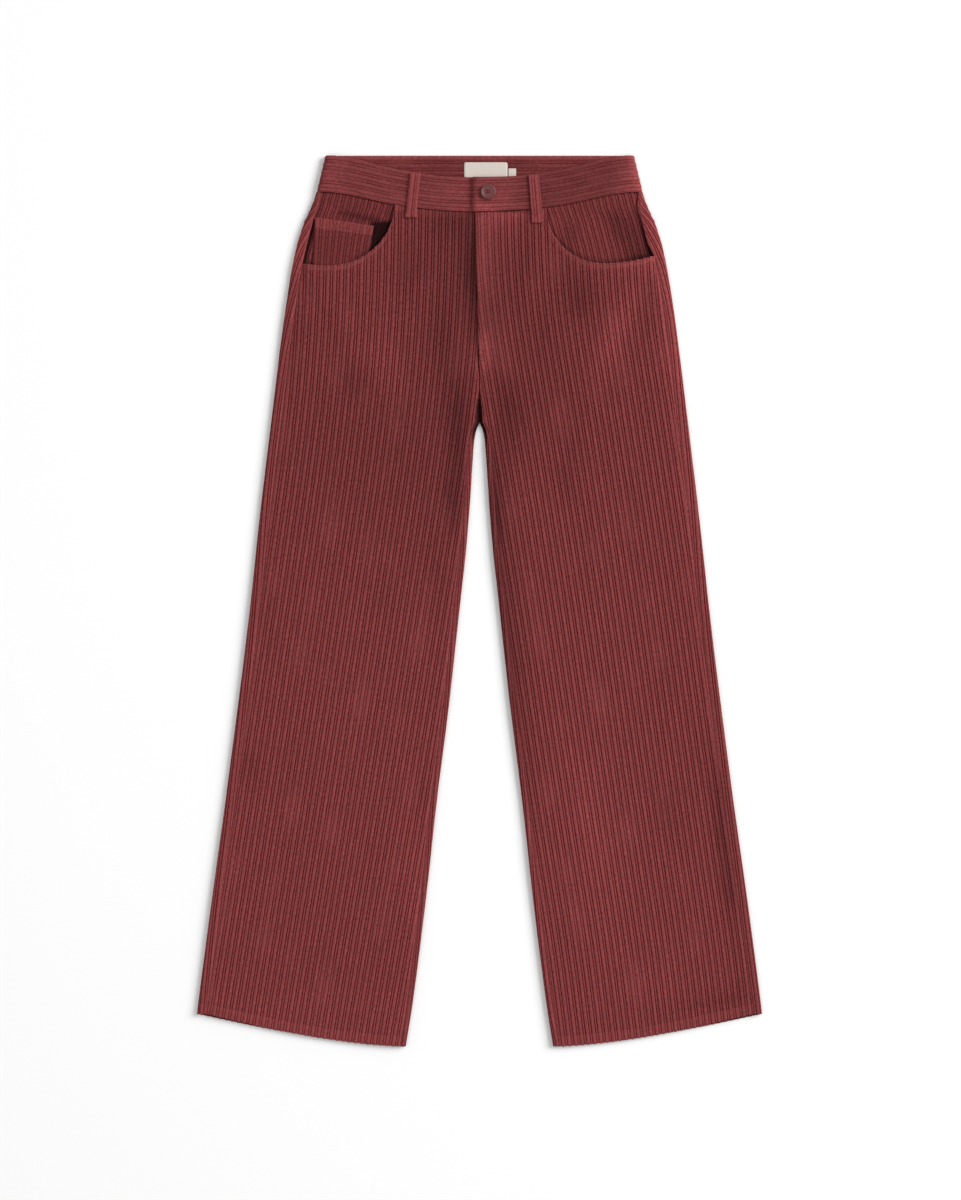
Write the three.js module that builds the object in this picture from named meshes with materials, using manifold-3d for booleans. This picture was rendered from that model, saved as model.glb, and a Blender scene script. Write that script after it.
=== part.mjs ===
// Wide-leg corduroy trousers, lying flat on a table with the legs apart, in millimetres.
// +X points to the wearer's left, +Y to the waist and +Z up, away from the table.
// The cloth is cut and laid the way the real garment is. Each leg has a back panel that lies on
// the table and turns up and over at both edges, and a front panel that lies on it between the
// side seam and the inseam. A folded waistband, pocket facings, a coin pocket, belt loops,
// a button and two blank tags finish it.
import * as THREE from "three";
import { mergeVertices } from "three/addons/utils/BufferGeometryUtils.js";
import Module from "manifold-3d";

const wasm = await Module();
wasm.setup();

// Driving sizes. A drop is the distance below the waistband's top edge.
const LENGTH = 1023; // from the waistband's top edge to the lowest point of the hem
const CLOTH = 2.2; // corduroy from its wrong side to the top of a wale
const BACK_CLOTH = 2.0; // the back panels, pressed flat by what lies on them
const GROOVE = 0.8; // depth between two wales
const GAP = 0.3; // between two pieces
const WALES = 29; // across one front panel
const SEAM_TOP = 7.0; // wale tops beside the side seam and the inseam
const MIDDLE_TOP = 5.9; // wale tops in the middle of a leg
const ROLL = 3.6; // radius of a turned-up edge, seen from above
const ROLL_STEPS = 6;
const PLAIN_STEPS = 10; // across a panel's plain side

// The flat outline: half the width over both side edges, at each drop.
const SIDE = [
  { drop: 0, half: 177.5 },
  { drop: 42, half: 187.5 },
  { drop: 58, half: 193 },
  { drop: 75, half: 201 },
  { drop: 98, half: 208.5 },
  { drop: 121, half: 214 },
  { drop: 144, half: 218 },
  { drop: 190, half: 225 },
  { drop: 282, half: 236.5 },
  { drop: 397, half: 250.5 },
  { drop: 512, half: 263 },
  { drop: 627, half: 277 },
  { drop: 742, half: 292 },
  { drop: 857, half: 308 },
  { drop: 972, half: 323 },
  { drop: 1023, half: 328 },
];

// The inner edge of a leg, from the crotch fold down.
const INNER = [
  { drop: 272, half: 0.15 },
  { drop: 310, half: 0.15 },
  { drop: 318, half: 3.2 },
  { drop: 330, half: 5.4 },
  { drop: 351, half: 7.2 },
  { drop: 397, half: 10.5 },
  { drop: 455, half: 15.5 },
  { drop: 512, half: 21.9 },
  { drop: 627, half: 34.5 },
  { drop: 742, half: 49 },
  { drop: 857, half: 61.8 },
  { drop: 972, half: 76.5 },
  { drop: 1023, half: 84.5 },
];

// How wide the back panel shows on the front, beside the side seam and beside the inseam.
const WRAP = [
  { drop: 42, side: 5.5, inseam: 0 },
  { drop: 66, side: 9, inseam: 0 },
  { drop: 98, side: 11.5, inseam: 0 },
  { drop: 272, side: 11.5, inseam: 0 },
  { drop: 283, side: 11.5, inseam: 2.7 },
  { drop: 310, side: 11.5, inseam: 4.9 },
  { drop: 351, side: 11.5, inseam: 6.4 },
  { drop: 1023, side: 11.5, inseam: 6.4 },
];

// The waistband's front edges, which dip towards the middle. Its back edges are level.
const WAIST = [
  { half: 0, top: 25.5, seam: 65 },
  { half: 32, top: 25, seam: 64 },
  { half: 56, top: 23, seam: 62.2 },
  { half: 80, top: 19.2, seam: 59.4 },
  { half: 104, top: 15.4, seam: 55.6 },
  { half: 128, top: 10, seam: 50.4 },
  { half: 150, top: 4.6, seam: 45.6 },
  { half: 176, top: 0.4, seam: 42 },
];

// The scooped mouth of each front pocket: a quarter ellipse, then a shallow rise to the side
// seam. Side 1 is the wearer's left and side -1 the wearer's right, here and below.
const SCOOPS = [
  { side: 1, x: 142, top: 60, across: 65, down: 64, rise: 0.0025 },
  { side: -1, x: 175, top: 57, across: 77, down: 70, rise: 0.0035 },
];

// A leg's rows from its upper edge to its hem, which straighten out between the two.
const ROWS = { top: 58, even: 262, hem: 1004 };
const ROW_DROPS = [
  58, 76, 105, 150, 182, 225, 258, 272, 283, 310, 318, 351, 450, 620, 800, 950, 984, 990, 1004,
];
const HEM = { inner: 1023, outer: 986, bow: 7, turned: 0.5, stitch: 990, dip: 0.3 };

// Soft folds. A positive rise is a ridge, a negative one a trough.
const FOLDS = [
  { side: -1, x: 22, drop: 262, toX: 42, toDrop: 395, width: 11, rise: -0.8 },
  { side: -1, x: 112, drop: 165, toX: 98, toDrop: 272, width: 20, rise: 0.9 },
  { side: -1, x: 170, drop: 175, toX: 124, toDrop: 280, width: 12, rise: -0.6 },
  { side: -1, x: 244, drop: 490, toX: 252, toDrop: 570, width: 9, rise: -0.7 },
  { side: -1, x: 262, drop: 690, toX: 268, toDrop: 745, width: 9, rise: -0.7 },
  { side: -1, x: 108, drop: 460, toX: 118, toDrop: 640, width: 20, rise: -0.4 },
  { side: -1, x: 180, drop: 620, toX: 196, toDrop: 830, width: 26, rise: 0.5 },
  { side: 1, x: 20, drop: 260, toX: 60, toDrop: 372, width: 10, rise: -0.9 },
  { side: 1, x: 182, drop: 160, toX: 128, toDrop: 250, width: 15, rise: 1.0 },
  { side: 1, x: 118, drop: 150, toX: 146, toDrop: 190, width: 11, rise: -0.5 },
  { side: 1, x: 154, drop: 395, toX: 146, toDrop: 560, width: 24, rise: 0.6 },
  { side: 1, x: 98, drop: 650, toX: 150, toDrop: 845, width: 26, rise: 1.2 },
  { side: 1, x: 242, drop: 615, toX: 224, toDrop: 780, width: 15, rise: -0.8 },
  { side: 1, x: 264, drop: 670, toX: 246, toDrop: 800, width: 10, rise: 0.7 },
  { side: 1, x: 274, drop: 690, toX: 296, toDrop: 885, width: 10, rise: -0.9 },
  { side: 1, x: 214, drop: 972, toX: 308, toDrop: 966, width: 9, rise: -0.8 },
];
const FOLD_FREE = 12; // beside a seam no fold rises or falls

// At the fly the wearer's left front laps over the right one and rises over it.
const FLY = {
  lap: 5.5,
  lapEnd: 1.5,
  tuck: 8,
  from: 66,
  tuckEnd: 182,
  gone: 225,
  crotch: 258,
  lift: 2.7,
  near: 10,
  far: 48,
};

// A front panel rises a little under the waistband and over what lies under a pocket mouth.
const WAIST_LIFT = { rise: 1.2, reach: 45 };
const POCKET_LIFT = { plain: 1.6, coin: 3.4, reach: 45, seam: 9 };

// A pocket facing lies on the back panel, its outer edge tucked under the side seam.
const FACING = { under: 16, cloth: 1.8, top: 4.1, pitch: 7.2, tuck: 3, clear: 3.9 };
const FACING_ROWS = [0, 0.3, 0.6, 0.8, 1];

// The coin pocket on the wearer's right facing. Its edges run outwards on their way down.
const COIN = {
  outer: 188.5,
  outerRun: 0.05,
  inner: 121,
  innerRun: 0.2,
  topOuter: 71,
  topInner: 81,
  bottom: 130,
  cloth: 1.5,
  groove: 0.6,
  wales: 8,
};
const COIN_ROWS = [0, 0.3, 0.65, 1];

// The waistband is corduroy folded double. Its wales run along it.
const BAND = {
  cloth: 3.6,
  top: 8.8,
  sideTop: 177.5,
  sideSeam: 187.5,
  backSeam: 42,
  bulge: 4.6,
  wales: 5,
  groove: 0.6,
  step: 16,
  steps: 11,
  backSteps: 6,
  turnSteps: 6,
};
const BAND_LAP = { end: -8, under: 22, lift: 3.9, near: 26, far: 78 };

const LOOP = { width: 12.5, cloth: 2.4, fall: 9, groove: 0.5, wales: 2, steps: 10 };
const LOOPS = [
  { name: "belt_loop_right", side: -1, x: 73.5, toX: 79, drop: 21, toDrop: 72 },
  { name: "belt_loop_left", side: 1, x: 62, toX: 66.5, drop: 23.5, toDrop: 78 },
];

const BUTTON = {
  x: 10,
  drop: 43,
  radius: 9,
  height: 3.2,
  rim: 6.3,
  recess: 0.9,
  edge: 0.9,
  hole: 0.95,
  holeAt: 1.9,
  facets: 36,
};
const TAGS = [
  { name: "waist_label", x: 7.2, width: 50, drop: 8, height: 27, cloth: 0.7 },
  { name: "size_tag", x: 37.6, width: 8.8, drop: 15, height: 18, cloth: 0.5 },
];

const CORDUROY = { color: 0x7a3a3b, roughness: 0.92, metalness: 0 };
const POCKET_CORDUROY = { color: 0x6e3134, roughness: 0.92, metalness: 0 };
const BUTTON_RESIN = { color: 0x71413f, roughness: 0.4, metalness: 0 };
const WOVEN_TAG = { color: 0xdbd0c9, roughness: 0.75, metalness: 0 };

const clamp = (value) => Math.min(1, Math.max(0, value));
const mix = (a, b, t) => a + (b - a) * t;
const smooth = (from, to, value) => {
  const t = clamp((value - from) / (to - from));
  return t * t * (3 - 2 * t);
};
const at = (x, drop, z) => new THREE.Vector3(x, LENGTH / 2 - drop, z);

// Reads a column of a table at a place on its key column, on a smooth curve through its rows.
function read(table, key, column, place) {
  const last = table.length - 2;
  let i = 0;
  while (i < last && table[i + 1][key] < place) i++;
  const slope = (k) => {
    const before = table[Math.max(0, k - 1)];
    const after = table[Math.min(table.length - 1, k + 1)];
    return (after[column] - before[column]) / (after[key] - before[key]);
  };
  const [from, to] = [table[i], table[i + 1]];
  const step = to[key] - from[key];
  const t = clamp((place - from[key]) / step);
  const rise = to[column] - from[column];
  const ease = t * t * (3 - 2 * t);
  return from[column] + rise * ease + step * t * (1 - t) * ((1 - t) * slope(i) - t * slope(i + 1));
}

const sideEdge = (drop) => read(SIDE, "drop", "half", drop);
const sideSeam = (drop) => sideEdge(drop) - read(WRAP, "drop", "side", drop);
const innerEdge = (drop) => Math.max(INNER[0].half, read(INNER, "drop", "half", drop));
const inseamWrap = (drop) => Math.max(0, read(WRAP, "drop", "inseam", drop));

// The waistband's top or seam edge on the front, straight between the band's stations.
function waistEdge(column, x) {
  const place = Math.abs(x) / BAND.step;
  const station = Math.floor(place);
  const [from, to] = [station, station + 1].map((k) => read(WAIST, "half", column, k * BAND.step));
  return mix(from, to, place - station);
}

// Where a front panel's inner edge lies, counted from the middle towards its own side.
function frontInner(side, drop) {
  const inseam = innerEdge(drop) + inseamWrap(drop) + GAP;
  const lap = mix(FLY.lap, FLY.lapEnd, clamp((drop - FLY.from) / (FLY.gone - FLY.from)));
  const fly = lap * (1 - smooth(FLY.gone, FLY.crotch, drop));
  const tuck = (FLY.tuck + GAP) * (1 - smooth(FLY.tuckEnd, FLY.gone, drop));
  return side > 0 ? inseam - fly : inseam + fly - tuck;
}

const frontX = (side, u, drop) => mix(frontInner(side, drop), sideSeam(drop) - GAP, u);

const scoopOf = (side) => SCOOPS.find((scoop) => scoop.side === side);

// The upper edge of a front panel at a distance across from the middle.
function frontTop(side, across) {
  const scoop = scoopOf(side);
  if (across >= scoop.x) return scoop.top + scoop.down - scoop.rise * (across - scoop.x) ** 2;
  const share = Math.min(1, (scoop.x - across) / scoop.across);
  const mouth = scoop.top + scoop.down * Math.sqrt(1 - share * share);
  return Math.max(mouth, waistEdge("seam", across) + GAP);
}

// Where a line that runs down a piece meets a curve across it.
function meet(line, curve) {
  let drop = ROWS.top;
  for (let turn = 0; turn < 40; turn++) drop = mix(drop, curve(Math.abs(line(drop))), 0.6);
  return drop;
}

function waleTop(side, u) {
  return meet(
    (drop) => frontX(side, u, drop),
    (across) => frontTop(side, across),
  );
}


// The hem runs down to the inseam, and bows out below the straight line between its corners.
const hemBow = (u) => HEM.bow * 4 * u * (1 - u) * mix(1, 0.6, u);
const hemDrop = (u) => mix(HEM.inner, HEM.outer, u) + hemBow(u);

// The drop of a leg's row at a share u across it, on a wale that starts at the drop top.
function rowDrop(top, u, row) {
  const above = (top - ROWS.top) * (1 - smooth(ROWS.top, ROWS.even, row));
  const below = (hemDrop(u) - ROWS.hem) * clamp((row - ROWS.even) / (ROWS.hem - ROWS.even));
  return row + above + below;
}

// The rise or fall that the soft folds give at a place.
function folds(side, x, drop) {
  let rise = 0;
  for (const fold of FOLDS.filter((row) => row.side === side)) {
    const [alongX, alongDrop] = [fold.toX - fold.x, fold.toDrop - fold.drop];
    const length = Math.hypot(alongX, alongDrop);
    const along = ((x - fold.x) * alongX + (drop - fold.drop) * alongDrop) / (length * length);
    const off = ((x - fold.x) * alongDrop - (drop - fold.drop) * alongX) / length;
    const ends = smooth(-0.25, 0.3, along) * (1 - smooth(0.7, 1.25, along));
    rise += fold.rise * ends * Math.exp(-((off / fold.width) ** 2));
  }
  return rise;
}

// The height of a front panel's wale tops, over the layers that lie under it.
function frontHeight(side, x, drop) {
  const [inner, outer] = [frontInner(side, drop), sideSeam(drop)];
  const edges = (2 * clamp((x - inner) / (outer - inner)) - 1) ** 4;
  const { x: middle, across } = scoopOf(side);
  const past = Math.max(0, drop - frontTop(side, x)) + Math.max(0, middle - across - x);
  const mouth = side < 0 ? POCKET_LIFT.coin : POCKET_LIFT.plain;
  const pocket = mouth * (1 - smooth(0, POCKET_LIFT.reach, past)) * smooth(0, POCKET_LIFT.seam, outer - x);
  const waist = WAIST_LIFT.rise * (1 - edges) * (1 - smooth(FLY.from, FLY.from + WAIST_LIFT.reach, drop));
  const over = side < 0 ? 0 : FLY.lift * (1 - smooth(FLY.near, FLY.far, x));
  const fly = over * (1 - smooth(FLY.gone, FLY.crotch, drop));
  const free = smooth(0, FOLD_FREE, outer - x) * smooth(0, FOLD_FREE, x - inner);
  return mix(MIDDLE_TOP, SEAM_TOP, edges) + Math.max(pocket, waist) + fly + folds(side, x, drop) * free;
}

// The waistband's height over the table on the front, where its left end laps over the right.
function bandHeight(side, x) {
  return BAND.top + (side > 0 ? BAND_LAP.lift * (1 - smooth(BAND_LAP.near, BAND_LAP.far, x)) : 0);
}

// Shares across a piece, with the two shoulders of each wale and the groove before it.
function waleShares(wales, groove) {
  const shares = [];
  for (let wale = 0; wale < wales; wale++) {
    shares.push({ u: wale / wales, dip: groove });
    shares.push({ u: (wale + 0.22) / wales, dip: 0 });
    shares.push({ u: (wale + 0.78) / wales, dip: 0 });
  }
  return [...shares, { u: 1, dip: groove }];
}

// Evenly spaced shares for a plain face.
const plainShares = (count) => Array.from({ length: count + 1 }, (_, i) => ({ u: i / count, dip: 0 }));

// The share of a line's length that lies before each of its points.
function shares(line) {
  const lengths = line.map((point, i) => (i ? point.distanceTo(line[i - 1]) : 0));
  const whole = lengths.reduce((sum, length) => sum + length, 0);
  let before = 0;
  return lengths.map((length) => (before += length) / whole);
}

// The triangles that close a wall's end, zipped from its outer line of points to its inner one.
function cap({ outer, inner }) {
  const [outerShares, innerShares] = [shares(outer), shares(inner)];
  const innerPoint = (j) => outer.length + inner.length - 1 - j;
  const faces = [];
  let [i, j] = [0, 0];
  while (i < outer.length - 1 || j < inner.length - 1) {
    const isInnerDone = j === inner.length - 1;
    const isOuterNext = isInnerDone || (i < outer.length - 1 && outerShares[i + 1] <= innerShares[j + 1]);
    if (isOuterNext) {
      faces.push([i + 1, i, innerPoint(j)]);
      i++;
    } else {
      faces.push([innerPoint(j), innerPoint(j + 1), i]);
      j++;
    }
  }
  return faces;
}

// A closed wall through sections. Each has an outer and an inner line of points that run the
// same way, and every section has as many points as the others.
function wall(sections) {
  const points = sections.flatMap(({ outer, inner }) => [...outer, ...inner.toReversed()]);
  const count = sections[0].outer.length + sections[0].inner.length;
  const last = points.length - count;
  const faces = cap(sections[0]);
  faces.push(...cap(sections.at(-1)).map(([a, b, c]) => [a + last, c + last, b + last]));
  for (let start = 0; start < last; start += count)
    for (let i = 0; i < count; i++) {
      const [a, b] = [start + i, start + ((i + 1) % count)];
      faces.push([a, b, b + count], [a, b + count, a + count]);
    }
  const sixfold = ([a, b, c]) => points[a].dot(points[b].clone().cross(points[c]));
  const isInsideOut = faces.reduce((sum, face) => sum + sixfold(face), 0) < 0;
  const outward = isInsideOut ? faces.map(([a, b, c]) => [a, c, b]) : faces;
  return new THREE.BufferGeometry().setFromPoints(points).setIndex(outward.flat());
}

function toSolid(geometry) {
  const bare = geometry.clone();
  bare.deleteAttribute("normal");
  bare.deleteAttribute("uv");
  const merged = mergeVertices(bare, 1e-4);
  return new wasm.Manifold(
    new wasm.Mesh({
      numProp: 3,
      vertProperties: new Float32Array(merged.getAttribute("position").array),
      triVerts: new Uint32Array(merged.index.array),
    }),
  );
}

function toGeometry(solid) {
  const mesh = solid.getMesh();
  return new THREE.BufferGeometry()
    .setAttribute("position", new THREE.BufferAttribute(new Float32Array(mesh.vertProperties), 3))
    .setIndex(new THREE.BufferAttribute(new Uint32Array(mesh.triVerts), 1));
}

// A front panel: ribbed above, plain below, from the pocket mouth and waist seam to the hem.
function frontPanel(side) {
  const withTop = ({ u, dip }) => ({ u, dip, top: waleTop(side, u) });
  const upper = waleShares(WALES, GROOVE).map(withTop);
  const lower = plainShares(PLAIN_STEPS).map(withTop);
  const line = (columns, row, thickness) =>
    columns.map(({ u, dip, top }) => {
      const drop = rowDrop(top, u, row);
      const x = frontX(side, u, drop);
      const hem = row > HEM.stitch ? HEM.turned : row === HEM.stitch ? -HEM.dip : 0;
      return at(side * x, drop, frontHeight(side, x, drop) + hem - dip - thickness);
    });
  return wall(ROW_DROPS.map((row) => ({ outer: line(upper, row, 0), inner: line(lower, row, CLOTH) })));
}

// The turned-up edge of a back panel, as [across, up] pairs: its outside from the seam on top,
// round the roll, down to the table, and its inside the same way.
function turnedEdge(tip, wrap, outward, ribs) {
  const roll = Math.min(ROLL, wrap - GAP);
  const centre = tip - outward * roll;
  const seam = tip - outward * wrap;
  const arc = (inset) =>
    Array.from({ length: ROLL_STEPS + 1 }, (_, i) => {
      const angle = Math.PI * (0.5 - i / ROLL_STEPS);
      const [across, up] = [Math.max(0.1, roll - inset), SEAM_TOP / 2 - inset];
      return [centre + outward * across * Math.cos(angle), SEAM_TOP / 2 + up * Math.sin(angle)];
    });
  const ribbed = ribs.map(({ share, dip }) => [mix(seam, centre, share), SEAM_TOP - dip]);
  return { outside: [...ribbed, ...arc(0)], inside: [[seam, SEAM_TOP - BACK_CLOTH], ...arc(BACK_CLOTH)] };
}

const BACK_FLAT = [0.75, 0.5, 0.25, 0]; // shares of the way from the inner edge to the turned-up side
const SIDE_RIBS = [
  { share: 0, dip: GROOVE },
  { share: 0.14, dip: 0 },
  { share: 0.6, dip: 0 },
  { share: 0.8, dip: GROOVE },
];
const INSEAM_RIBS = [
  { share: 0, dip: GROOVE },
  { share: 0.4, dip: 0 },
];

// A section of a back panel: a turned-up edge, and flat cloth on to the given places.
function backSection(side, edge, drop, flat) {
  const line = (pairs) => pairs.map(([x, z]) => at(side * x, drop, z));
  const level = (z) => flat.map((place) => at(side * place.x, place.drop, z));
  return {
    outer: [...line(edge.outside), ...level(0)],
    inner: [...line(edge.inside), ...level(BACK_CLOTH)],
  };
}

// A back panel: flat on the table and turned up and over at the side, and from the crotch down
// at the inseam too. Its seams and hem have the same rows as the front panel's.
function backPanel(side) {
  const flatTop = BAND.backSeam + GAP;
  const seamTops = { outer: waleTop(side, 1), inner: waleTop(side, 0) };
  const underPocket = [0, 0.25, 0.5, 0.75].map((share) => ({
    outer: mix(flatTop, seamTops.outer, share),
    inner: mix(flatTop, seamTops.inner, share),
    bow: 0,
  }));
  const alongLeg = ROW_DROPS.map((row) => ({
    outer: rowDrop(seamTops.outer, 1, row),
    inner: rowDrop(seamTops.inner, 0, row),
    bow: clamp((row - ROWS.even) / (ROWS.hem - ROWS.even)),
  }));
  const main = [...underPocket, ...alongLeg].map(({ outer, inner, bow }) => {
    const edge = turnedEdge(sideEdge(outer), sideEdge(outer) - sideSeam(outer), 1, SIDE_RIBS);
    const start = sideEdge(outer) - ROLL;
    const end = innerEdge(inner) + (inner > INNER[1].drop + 1 ? ROLL : 0);
    const flat = BACK_FLAT.map((u) => ({
      x: mix(end, start, u),
      drop: mix(inner, outer, u) + bow * hemBow(u),
    }));
    return backSection(side, edge, outer, flat);
  });
  const strip = ROW_DROPS.filter((row) => row > WRAP[3].drop).map((row) => {
    const drop = rowDrop(seamTops.inner, 0, row);
    const edge = turnedEdge(innerEdge(drop), inseamWrap(drop), -1, INSEAM_RIBS);
    return backSection(side, edge, drop, [{ x: innerEdge(drop) + 2 * ROLL, drop }]);
  });
  return toGeometry(toSolid(wall(main)).add(toSolid(wall(strip))));
}

// The waistband's stations, from its left end over the left side, the back and the right side
// to its right end. Each gives the turn round a side, 1 on the front and -1 on the back.
function bandStations() {
  const end = BAND.sideSeam - BAND.bulge;
  const front = plainShares(BAND.steps).map(({ u }) => ({ x: u * BAND.steps * BAND.step, turn: 1 }));
  const round = plainShares(BAND.turnSteps).map(({ u }) => ({ x: end, turn: 1 - 2 * u }));
  const back = plainShares(BAND.backSteps).slice(1, -1);
  return [
    { side: 1, x: BAND_LAP.end, turn: 1 },
    ...[...front, ...round].map((station) => ({ side: 1, ...station })),
    ...back.map(({ u }) => ({ side: 1, x: end * (1 - 2 * u), turn: -1 })),
    ...[...front, ...round].reverse().map((station) => ({ side: -1, ...station })),
    { side: -1, x: -BAND_LAP.under, turn: 1 },
  ];
}

function waistband() {
  const wales = waleShares(BAND.wales, BAND.groove);
  const tops = BAND.sideTop - BAND.bulge;
  const sections = bandStations().map(({ side, x, turn }) => {
    const angle = (turn * Math.PI) / 2;
    const isBack = turn === -1;
    const height = turn === 1 ? bandHeight(side, x) : BAND.top;
    const round = clamp((1 - turn) / 2);
    const upper = mix(waistEdge("top", x), 0, round);
    const lower = mix(waistEdge("seam", x), BAND.backSeam, round);
    const point = (u, inset) => {
      const along = mix((x * tops) / (BAND.sideSeam - BAND.bulge), x, u);
      const across = along + (BAND.bulge - inset) * Math.cos(angle);
      const up = turn === 1 ? height - inset : BAND.top / 2 + (BAND.top / 2 - inset) * Math.sin(angle);
      return at(side * across, mix(upper, lower, u), up);
    };
    return {
      outer: wales.map(({ u, dip }) => point(u, isBack ? 0 : dip)),
      inner: wales.map(({ u, dip }) => point(u, BAND.cloth - (isBack ? dip : 0))),
    };
  });
  return wall(sections);
}

// A pocket facing, whose wales run beside the side seam.
function pocketFacing(side) {
  const edge = (drop) => Math.min(sideSeam(drop) + FACING.tuck, sideEdge(drop) - FACING.clear);
  const { x, top: mouth, across: reach } = scoopOf(side);
  const width = edge(mouth) - (x - reach - FACING.under);
  const line = (u) => (drop) => edge(drop) - (1 - u) * width;
  const withEnds = ({ u, dip }) => ({
    u,
    dip,
    top: meet(line(u), (across) => waistEdge("seam", across) + GAP),
    bottom: meet(line(u), (across) => frontTop(side, across) + FACING.under),
  });
  const upper = waleShares(Math.round(width / FACING.pitch), GROOVE).map(withEnds);
  const lower = plainShares(PLAIN_STEPS).map(withEnds);
  const row = (columns, share, thickness) =>
    columns.map(({ u, dip, top, bottom }) => {
      const drop = mix(top, bottom, share);
      return at(side * line(u)(drop), drop, FACING.top - dip - thickness);
    });
  const section = (share) => ({ outer: row(upper, share, 0), inner: row(lower, share, FACING.cloth) });
  return wall(FACING_ROWS.map(section));
}

// The coin pocket, a small square of cloth on the wearer's right facing.
function coinPocket() {
  const row = (columns, share, up) =>
    columns.map(({ u, dip }) => {
      const drop = mix(mix(COIN.topInner, COIN.topOuter, u), COIN.bottom, share);
      const inner = COIN.inner + COIN.innerRun * (drop - COIN.topInner);
      const outer = COIN.outer + COIN.outerRun * (drop - COIN.topOuter);
      return at(-mix(inner, outer, u), drop, FACING.top + GAP + up - dip);
    });
  const [upper, lower] = [waleShares(COIN.wales, COIN.groove), plainShares(4)];
  const section = (share) => ({ outer: row(upper, share, COIN.cloth), inner: row(lower, share, 0) });
  return wall(COIN_ROWS.map(section));
}

// A belt loop, over the waistband and down to the panel below it.
function beltLoop({ side, x, toX, drop, toDrop }) {
  const [upper, lower] = [waleShares(LOOP.wales, LOOP.groove), plainShares(2)];
  const sections = plainShares(LOOP.steps).map(({ u: share }) => {
    const [middle, down] = [mix(x, toX, share), mix(drop, toDrop, share)];
    const seam = waistEdge("seam", middle);
    const fallen = smooth(seam + 1, seam + LOOP.fall, down);
    const edges = [-LOOP.width / 2, 0, LOOP.width / 2].map((off) => middle + off);
    const panel = Math.max(...edges.map((across) => frontHeight(side, across, Math.max(down, seam + 1))));
    const band = Math.max(...edges.map((across) => bandHeight(side, across)));
    const base = mix(band, panel, fallen) + GAP;
    const line = (columns, up) =>
      columns.map(({ u, dip }) => at(side * (middle + (u - 0.5) * LOOP.width), down, base + up - dip));
    return { outer: line(upper, LOOP.cloth), inner: line(lower, 0) };
  });
  return wall(sections);
}

// A round button with a raised rim and four holes.
function button() {
  const { radius, height, rim, recess, edge } = BUTTON;
  const profile = [
    [0, 0],
    [radius - edge, 0],
    [radius, edge],
    [radius, height - edge],
    [radius - edge / 2, height - edge / 4],
    [radius - edge, height],
    [rim, height],
    [rim - recess, height - recess],
    [0, height - recess],
  ].map(([across, up]) => new THREE.Vector2(across, up));
  let solid = toSolid(new THREE.LatheGeometry(profile, BUTTON.facets).rotateX(Math.PI / 2));
  for (let quarter = 0; quarter < 4; quarter++) {
    const angle = (quarter + 0.5) * (Math.PI / 2);
    const hole = new THREE.CylinderGeometry(BUTTON.hole, BUTTON.hole, 3 * height, 12).rotateX(Math.PI / 2);
    hole.translate(BUTTON.holeAt * Math.cos(angle), BUTTON.holeAt * Math.sin(angle), 0);
    solid = solid.subtract(toSolid(hole));
  }
  return toGeometry(solid);
}

const garment = new THREE.Group();

function addPiece(name, geometry, finish) {
  const mesh = new THREE.Mesh(geometry, new THREE.MeshStandardMaterial(finish));
  mesh.name = name;
  garment.add(mesh);
  return mesh;
}

for (const [name, side] of [["left", 1], ["right", -1]]) {
  addPiece(`back_${name}`, backPanel(side), CORDUROY);
  addPiece(`front_${name}`, frontPanel(side), CORDUROY);
  addPiece(`pocket_facing_${name}`, pocketFacing(side), POCKET_CORDUROY);
}
addPiece("coin_pocket", coinPocket(), POCKET_CORDUROY);
addPiece("waistband", waistband(), CORDUROY);
for (const loop of LOOPS) addPiece(loop.name, beltLoop(loop), CORDUROY);

const buttonMesh = addPiece("button", button(), BUTTON_RESIN);
buttonMesh.position.copy(at(BUTTON.x, BUTTON.drop, BAND.top + BAND_LAP.lift + GAP));

for (const tag of TAGS) {
  const mesh = addPiece(tag.name, new THREE.BoxGeometry(tag.width, tag.height, tag.cloth), WOVEN_TAG);
  mesh.position.copy(at(tag.x, tag.drop + tag.height / 2, BAND.cloth + GAP + tag.cloth / 2));
}

export default garment;
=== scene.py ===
"""Wide-leg corduroy trousers, laid flat with the legs apart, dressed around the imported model.

Sizes are in millimetres, and the meshes are written in metres. +X points to the wearer's left,
+Y to the waist and +Z up. A drop is the distance down from the waistband's top edge.
"""

from __future__ import annotations

import logging
import math
from dataclasses import dataclass, field
from enum import Enum
from typing import Callable, Iterable, Sequence

import bmesh
import bpy
import numpy as np
from mathutils import Matrix, Vector


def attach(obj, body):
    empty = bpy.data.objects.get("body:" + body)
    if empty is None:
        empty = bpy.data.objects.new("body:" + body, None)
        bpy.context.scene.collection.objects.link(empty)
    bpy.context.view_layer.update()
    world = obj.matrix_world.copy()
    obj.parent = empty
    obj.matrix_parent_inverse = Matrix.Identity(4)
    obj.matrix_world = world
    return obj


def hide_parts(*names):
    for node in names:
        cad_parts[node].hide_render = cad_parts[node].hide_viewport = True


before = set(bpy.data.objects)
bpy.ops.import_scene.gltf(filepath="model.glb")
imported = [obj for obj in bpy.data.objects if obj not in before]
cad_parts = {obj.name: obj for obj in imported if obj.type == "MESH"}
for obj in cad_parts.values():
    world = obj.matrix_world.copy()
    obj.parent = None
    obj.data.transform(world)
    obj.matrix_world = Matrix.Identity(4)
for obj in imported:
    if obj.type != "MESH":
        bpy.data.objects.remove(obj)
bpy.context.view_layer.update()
LOG = logging.getLogger("trousers")
MM = 0.001
LENGTH = 1023  # from the waistband's top edge to the hem's lowest point
Field = np.ndarray


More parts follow.
